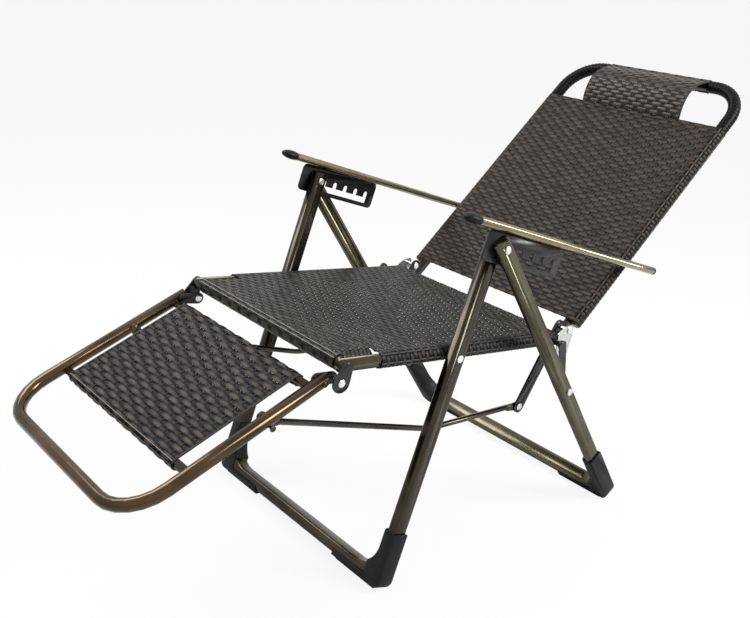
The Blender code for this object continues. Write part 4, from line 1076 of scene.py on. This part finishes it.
@dataclass
class WoundTube:
    """The strip that is wound round the back's tube beside the headrest, in overlapping turns."""

    back: WovenBack
    head_gap: float = 0.0003
    pitch: float = 0.0088
    steps_per_turn: int = 8
    faces_round: int = 24
    radius: float = 0.0131
    ridge_height: float = 0.0015
    ridge_power: float = 0.5
    note_radius: float = 0.014
    note_height: float = 0.0024

    def build(self) -> None:
        """Builds both sides."""
        for name, sign in SIDES:
            self.build_side(name, sign)

    def route(self, sign: int) -> list[tuple[Vector, Vector]]:
        """Gives the wound stretch of the tube: up the rail, round the bend and along the top bar.

        Args:
            sign: 1 for the left side, -1 for the right.

        Returns:
            Places and directions along the tube's centre line, several to each turn.
        """
        line, rail_x = self.back.rails.line, self.back.rails.rail_x
        low, high, bend = self.back.panel.last, self.back.top_bar, self.back.bend
        straight = high - bend - low
        curve = bend * math.pi / 2
        flat = rail_x - bend - self.back.head_half - self.head_gap
        total = straight + curve + flat
        count = round(total / (self.pitch / self.steps_per_turn))
        route = []
        for i in range(count + 1):
            gone = total * i / count
            if gone < straight:
                across, along, turn = rail_x, low + gone, 0.0
            elif gone < straight + curve:
                turn = (gone - straight) / bend
                across = rail_x - bend * (1 - math.cos(turn))
                along = high - bend * (1 - math.sin(turn))
            else:
                turn = math.pi / 2
                across = rail_x - bend - (gone - straight - curve)
                along = high
            place = line.in_space(sign * across, along)
            beyond = line.in_space(sign * (across - math.sin(turn)), along + math.cos(turn))
            route.append((place, (beyond - place).normalized()))
        return route

    def build_side(self, name: str, sign: int) -> None:
        """Builds the strip of one side.

        Args:
            name: The side's name.
            sign: 1 for the left side, -1 for the right.
        """
        route = self.route(sign)
        last = len(route) - 1
        # A rod of length 1 and radius 1, whose points are then carried onto the route.
        tube = rod(1.0, 2.0, 2.0, self.faces_round, last - 1, True)
        up = self.back.rails.line.up
        off_back = Vector((0.0, up.x, up.y))
        notes = []
        for point in tube.data.vertices:
            i = round((point.co.x + 0.5) * last)
            place, ahead = route[i]
            side = ahead.cross(off_back)
            angle = math.atan2(point.co.z, point.co.y)
            turn = (i / self.steps_per_turn + angle / (2 * math.pi)) % 1.0
            ridge = math.sin(math.pi * turn) ** self.ridge_power
            radius = self.radius + self.ridge_height * ridge
            wound = i * self.pitch / self.steps_per_turn
            # The height note makes the strand finish paint shade in the low parts between the wound
            # turns.
            height = self.note_height * ridge - self.note_height / 2
            notes.append(Vector((angle * self.note_radius, wound, height)))
            around = side * (math.cos(angle) * radius)
            point.co = place + around + off_back * (math.sin(angle) * radius)
        write_notes(tube, notes)
        tube.data.materials.append(material_of(BACK_STRAND))
        tube.name = "wound_tube_" + name
        smooth(tube, STRAND_ANGLE)
        keep(tube, "back")


@dataclass
class Headrest:
    """Arched headrest cloth from the panel's top over the top bar, with dark cords at its sides."""

    back: WovenBack
    overlap: float = 0.001
    low_height: float = 0.0160
    bar_radius: float = 0.0140
    bulge: float = 0.028
    arch_steps: int = 24
    turn_step: int = 10
    turn_end: int = -140
    inset: float = 0.001
    cords: tuple[SideCord, ...] = (
        SideCord("headrest_binding_", 0.0008, 0.0, 0.0017, 40),
        SideCord("headrest_edge_line_", 0.0020, 0.0018, 0.0007, 40),
    )
    arch: list[Vector] = field(init=False)
    reach: list[float] = field(init=False)

    def __post_init__(self) -> None:
        """Works out the arch, and the length along it at each of its points."""
        self.arch = self.arch_line()
        self.reach = [0.0]
        for first, second in zip(self.arch, self.arch[1:]):
            self.reach.append(self.reach[-1] + (second - first).length)

    def arch_line(self) -> list[Vector]:
        """Gives the cloth's middle line, up the arch and back round the top bar.

        Returns:
            Points of (along, up) on the back.
        """
        low = Vector((self.back.panel.last - self.overlap, self.low_height))
        high = Vector((self.back.top_bar, self.bar_radius))
        line = []
        for i in range(self.arch_steps + 1):
            share = i / self.arch_steps
            spot = low.lerp(high, share)
            spot.y += 4 * self.bulge * share * (1 - share)
            line.append(spot)
        bar = Vector((self.back.top_bar, 0.0))
        for degrees in range(90 - self.turn_step, self.turn_end - 1, -self.turn_step):
            line.append(bar + unit(degrees) * self.bar_radius)
        return line

    def place(self, across: float, along: float, height: float) -> Vector:
        """Carries one point of the flat cloth onto the arch.

        Args:
            across: Distance from the chair's middle.
            along: Distance along the arch.
            height: Height above the cloth.

        Returns:
            The point in space.
        """
        along = min(max(along, 0.0), self.reach[-1])
        i = next(k for k in range(1, len(self.reach)) if self.reach[k] >= along)
        first, second = self.arch[i - 1], self.arch[i]
        share = (along - self.reach[i - 1]) / (self.reach[i] - self.reach[i - 1])
        spot = first.lerp(second, share) + left_of((second - first).normalized()) * height
        return self.back.rails.line.in_space(across, spot.x, spot.y)

    def build(self) -> None:
        """Builds the cloth and the cords of its two sides."""
        half, ends = self.back.head_half, Span(0.0, self.reach[-1])
        cloth = Cloth(
            "headrest_cloth", BRICK_LATTICE, half - self.inset, ends, self.place, HEAD_STRAND
        )
        keep(cloth.build(), "back", replaced=("headrest_weave",))
        cloth.bind_sides(self.cords, half, "back")


@dataclass
class WovenFootrest:
    """Footrest panel, hemmed round its two crossbars."""

    side: SideView
    front_bar: float = 0.306
    rear_bar: float = 0.048
    drop: float = 0.004
    radius: float = 0.0102
    hem_turn: float = 235.0
    half_width: float = 0.205
    # The front hem's first, pale line is painted highlight; the second is a dark cord.
    hem_lines: tuple[tuple[float, Cord], ...] = ((0.004, HIGHLIGHT_LINE), (0.0105, DARK_CORD))
    line_height: float = 0.0022
    line_radius: float = 0.0008
    binding: SideCord = SideCord("footrest_binding_", 0.0, 0.0, 0.0019, 50)
    way: TurnedDown = field(init=False)

    def __post_init__(self) -> None:
        """Finds the way of the panel."""
        bars = ((self.front_bar, 1), (self.rear_bar, -1))
        self.way = TurnedDown(self.side.foot, self.radius, bars, self.drop)

    def place(self, across: float, along: float, height: float) -> Vector:
        """Carries one point of the flat cloth."""
        spot = self.way.at(along, height)
        return Vector((across, spot.x, spot.y))

    def build(self) -> None:
        """Builds the panel, the lines of its front hem (a pale line of painted highlight and a dark
        cord) and the bindings of its sides.
        """
        turn = self.radius * math.radians(self.hem_turn)
        ends = Span(self.rear_bar - turn, self.front_bar + turn)
        cloth = Cloth(
            "footrest_cloth", ROUND_LATTICE, self.half_width, ends, self.place, BROWN_STRAND
        )
        keep(cloth.build(), "footrest", replaced=("footrest_weave",))
        for number, (past, finish) in enumerate(self.hem_lines):
            spot = self.way.at(self.front_bar + past, self.line_height)
            line = across_chair(spot, self.half_width)
            name = f"footrest_hem_line_{number}"
            keep(edge_line(name, self.line_radius, line, finish), "footrest")
        cloth.bind_sides((self.binding,), self.half_width, "footrest")


FINISH_OF_SLOT = {
    "bronze_paint": BRONZE,
    "slate_plastic": SLATE,
    "black_paint": BLACK_PAINT,
    "zinc": ZINC_PLATE,
    "steel": BRIGHT_STEEL,
}
FINISH_OF_NODE = {
    # The footrest tube's warmer copy of the bronze: partly its own tone, partly painted orange
    # highlight.
    "footrest_frame": WARM_HIGHLIGHT_BRONZE,
    # Painted shade: the front legs wear a darker copy of the bronze paint.
    "front_leg_frame": SHADED_BRONZE,
    # Painted light: the rear legs wear a lighter olive copy of the bronze paint.
    "rear_leg_frame": LIT_OLIVE_BRONZE,
    "drive_rod": BRONZE,
    # Painted highlight: the armrests wear a much lighter copy of the bronze paint.
    "armrest": ARM_HIGHLIGHT_BRONZE,
    "notch_plate": BLACK_PAINT,
}


@dataclass
class FrameAndFittings:
    """The CAD nodes that stay in view, each with its finish.

    Bare metal is shown as it is. Painted and moulded nodes are shown as smooth-shaded copies.
    """

    softened: tuple[str, ...] = ("bronze_paint", "slate_plastic", "black_paint")
    merge_reach: float = 0.00002
    smooth_angle: float = 40.0

    def dress(self) -> None:
        """Gives every CAD node that stays in view the finish of its name or material slot."""
        for row in frame["record"]["subparts"]:
            finish = FINISH_OF_SLOT.get(row["material_slot"])
            if finish is None:
                continue
            pair = row["node"].removesuffix("_left").removesuffix("_right")
            finish = FINISH_OF_NODE.get(pair, finish)
            node = frame["nodes"][row["node"]]
            if row["material_slot"] in self.softened:
                self.soften(node, finish)
                continue
            for slot in node.material_slots:
                slot.material = material_of(finish)
            LOG.info("%s wears %s", node.name, finish.name)

    def soften(self, node: bpy.types.Object, finish: Finish) -> None:
        """Stands a closed, smooth-shaded copy in a node's place.

        Args:
            node: The CAD node.
            finish: Its finish.
        """
        piece = bpy.data.objects.new(node.name + "_shell", node.data.copy())
        bpy.context.scene.collection.objects.link(piece)
        select_only(piece)
        bpy.ops.object.mode_set(mode="EDIT")
        bpy.ops.mesh.select_all(action="SELECT")
        bpy.ops.mesh.remove_doubles(threshold=self.merge_reach)
        bpy.ops.object.mode_set(mode="OBJECT")
        piece.data.materials.clear()
        piece.data.materials.append(material_of(finish))
        smooth(piece, self.smooth_angle)
        keep(piece, node["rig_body"], (node.name,))


@dataclass(frozen=True)
class Lamp:
    """A square soft lamp: its place, its width and its power in watts."""

    name: str
    place: Triple
    size: float
    power: float


@dataclass
class Studio:
    """Camera, lamps, white floor and white surroundings."""

    camera_at: Triple = (1.5235, -1.3693, 1.2123)
    yaw: float = 0.8719
    pitch: float = -0.3610
    roll: float = 0.0579
    focal: float = 1005.5
    frame_width: float = 750.0
    sensor: float = 36.0
    lamps: tuple[Lamp, ...] = (
        Lamp("key_lamp", (2.3, 1.3, 2.2), 1.2, 95.0),
        Lamp("fill_lamp", (-1.6, -0.9, 2.6), 1.4, 48.0),
    )
    lamp_aim: Triple = (0.0, 0.0, 0.45)
    floor_width: float = 60.0
    floor_drop: float = 0.0005
    world_level: float = 0.42

    def build(self) -> None:
        """Builds the whole studio."""
        self.build_camera()
        for lamp in self.lamps:
            self.build_lamp(lamp)
        self.build_floor()
        self.build_world()
        bpy.context.scene.view_settings.view_transform = "Standard"

    def build_camera(self) -> None:
        """Places the camera where the photograph was taken from."""
        level = math.cos(self.pitch)
        ahead = Vector(
            (-math.sin(self.yaw) * level, math.cos(self.yaw) * level, math.sin(self.pitch))
        )
        right = Vector((math.cos(self.yaw), math.sin(self.yaw), 0.0))
        up = right.cross(ahead)
        turned_right = right * math.cos(self.roll) + up * math.sin(self.roll)
        turned_up = up * math.cos(self.roll) - right * math.sin(self.roll)
        data = bpy.data.cameras.new("camera")
        data.lens = self.focal / self.frame_width * self.sensor
        data.sensor_width = self.sensor
        camera = bpy.data.objects.new("camera", data)
        turn = Matrix((turned_right, turned_up, -ahead)).transposed()
        camera.matrix_world = Matrix.Translation(self.camera_at) @ turn.to_4x4()
        bpy.context.scene.collection.objects.link(camera)
        bpy.context.scene.camera = camera

    def build_lamp(self, lamp: Lamp) -> None:
        """Adds a lamp that faces the seat.

        Args:
            lamp: The lamp.
        """
        data = bpy.data.lights.new(lamp.name, "AREA")
        data.size = lamp.size
        data.energy = lamp.power
        made = bpy.data.objects.new(lamp.name, data)
        made.location = lamp.place
        aim = Vector(self.lamp_aim) - Vector(lamp.place)
        made.rotation_euler = aim.to_track_quat("-Z", "Y").to_euler()
        bpy.context.scene.collection.objects.link(made)

    def build_floor(self) -> None:
        """Adds the floor, whose colour gives the white ground and keeps a faint shadow."""
        deselect()
        spot = (0.0, 0.0, -self.floor_drop)
        bpy.ops.mesh.primitive_plane_add(size=self.floor_width, location=spot)
        floor = bpy.context.object
        floor.name = "studio_floor"
        floor.data.materials.append(material_of(StudioFloor()))

    def build_world(self) -> None:
        """Makes the surroundings white to the camera and in reflections, and plainer as light."""
        world = bpy.data.worlds.new("studio_world")
        bpy.context.scene.world = world
        world.use_nodes = True
        nodes, links = world.node_tree.nodes, world.node_tree.links
        background = nodes["Background"]
        background.inputs["Color"].default_value = (1.0, 1.0, 1.0, 1.0)
        path = nodes.new("ShaderNodeLightPath")
        seen = path.outputs["Is Camera Ray"]
        for ray in ("Is Glossy Ray", "Is Transmission Ray"):
            either = nodes.new("ShaderNodeMath")
            either.operation = "MAXIMUM"
            links.new(seen, either.inputs[0])
            links.new(path.outputs[ray], either.inputs[1])
            seen = either.outputs[0]
        level = nodes.new("ShaderNodeMapRange")
        level.inputs["To Min"].default_value = self.world_level
        level.inputs["To Max"].default_value = 1.0
        links.new(seen, level.inputs["Value"])
        links.new(level.outputs["Result"], background.inputs["Strength"])


def main() -> None:
    """Builds the chair's looks in order."""
    logging.basicConfig(level=logging.INFO, format="%(message)s")
    side = SideView()
    Studio().build()
    FrameAndFittings().dress()
    WovenSeat(side).build()
    back = WovenBack(side)
    back.build()
    WoundTube(back).build()
    Headrest(back).build()
    WovenFootrest(side).build()


if __name__ == "__main__":
    main()
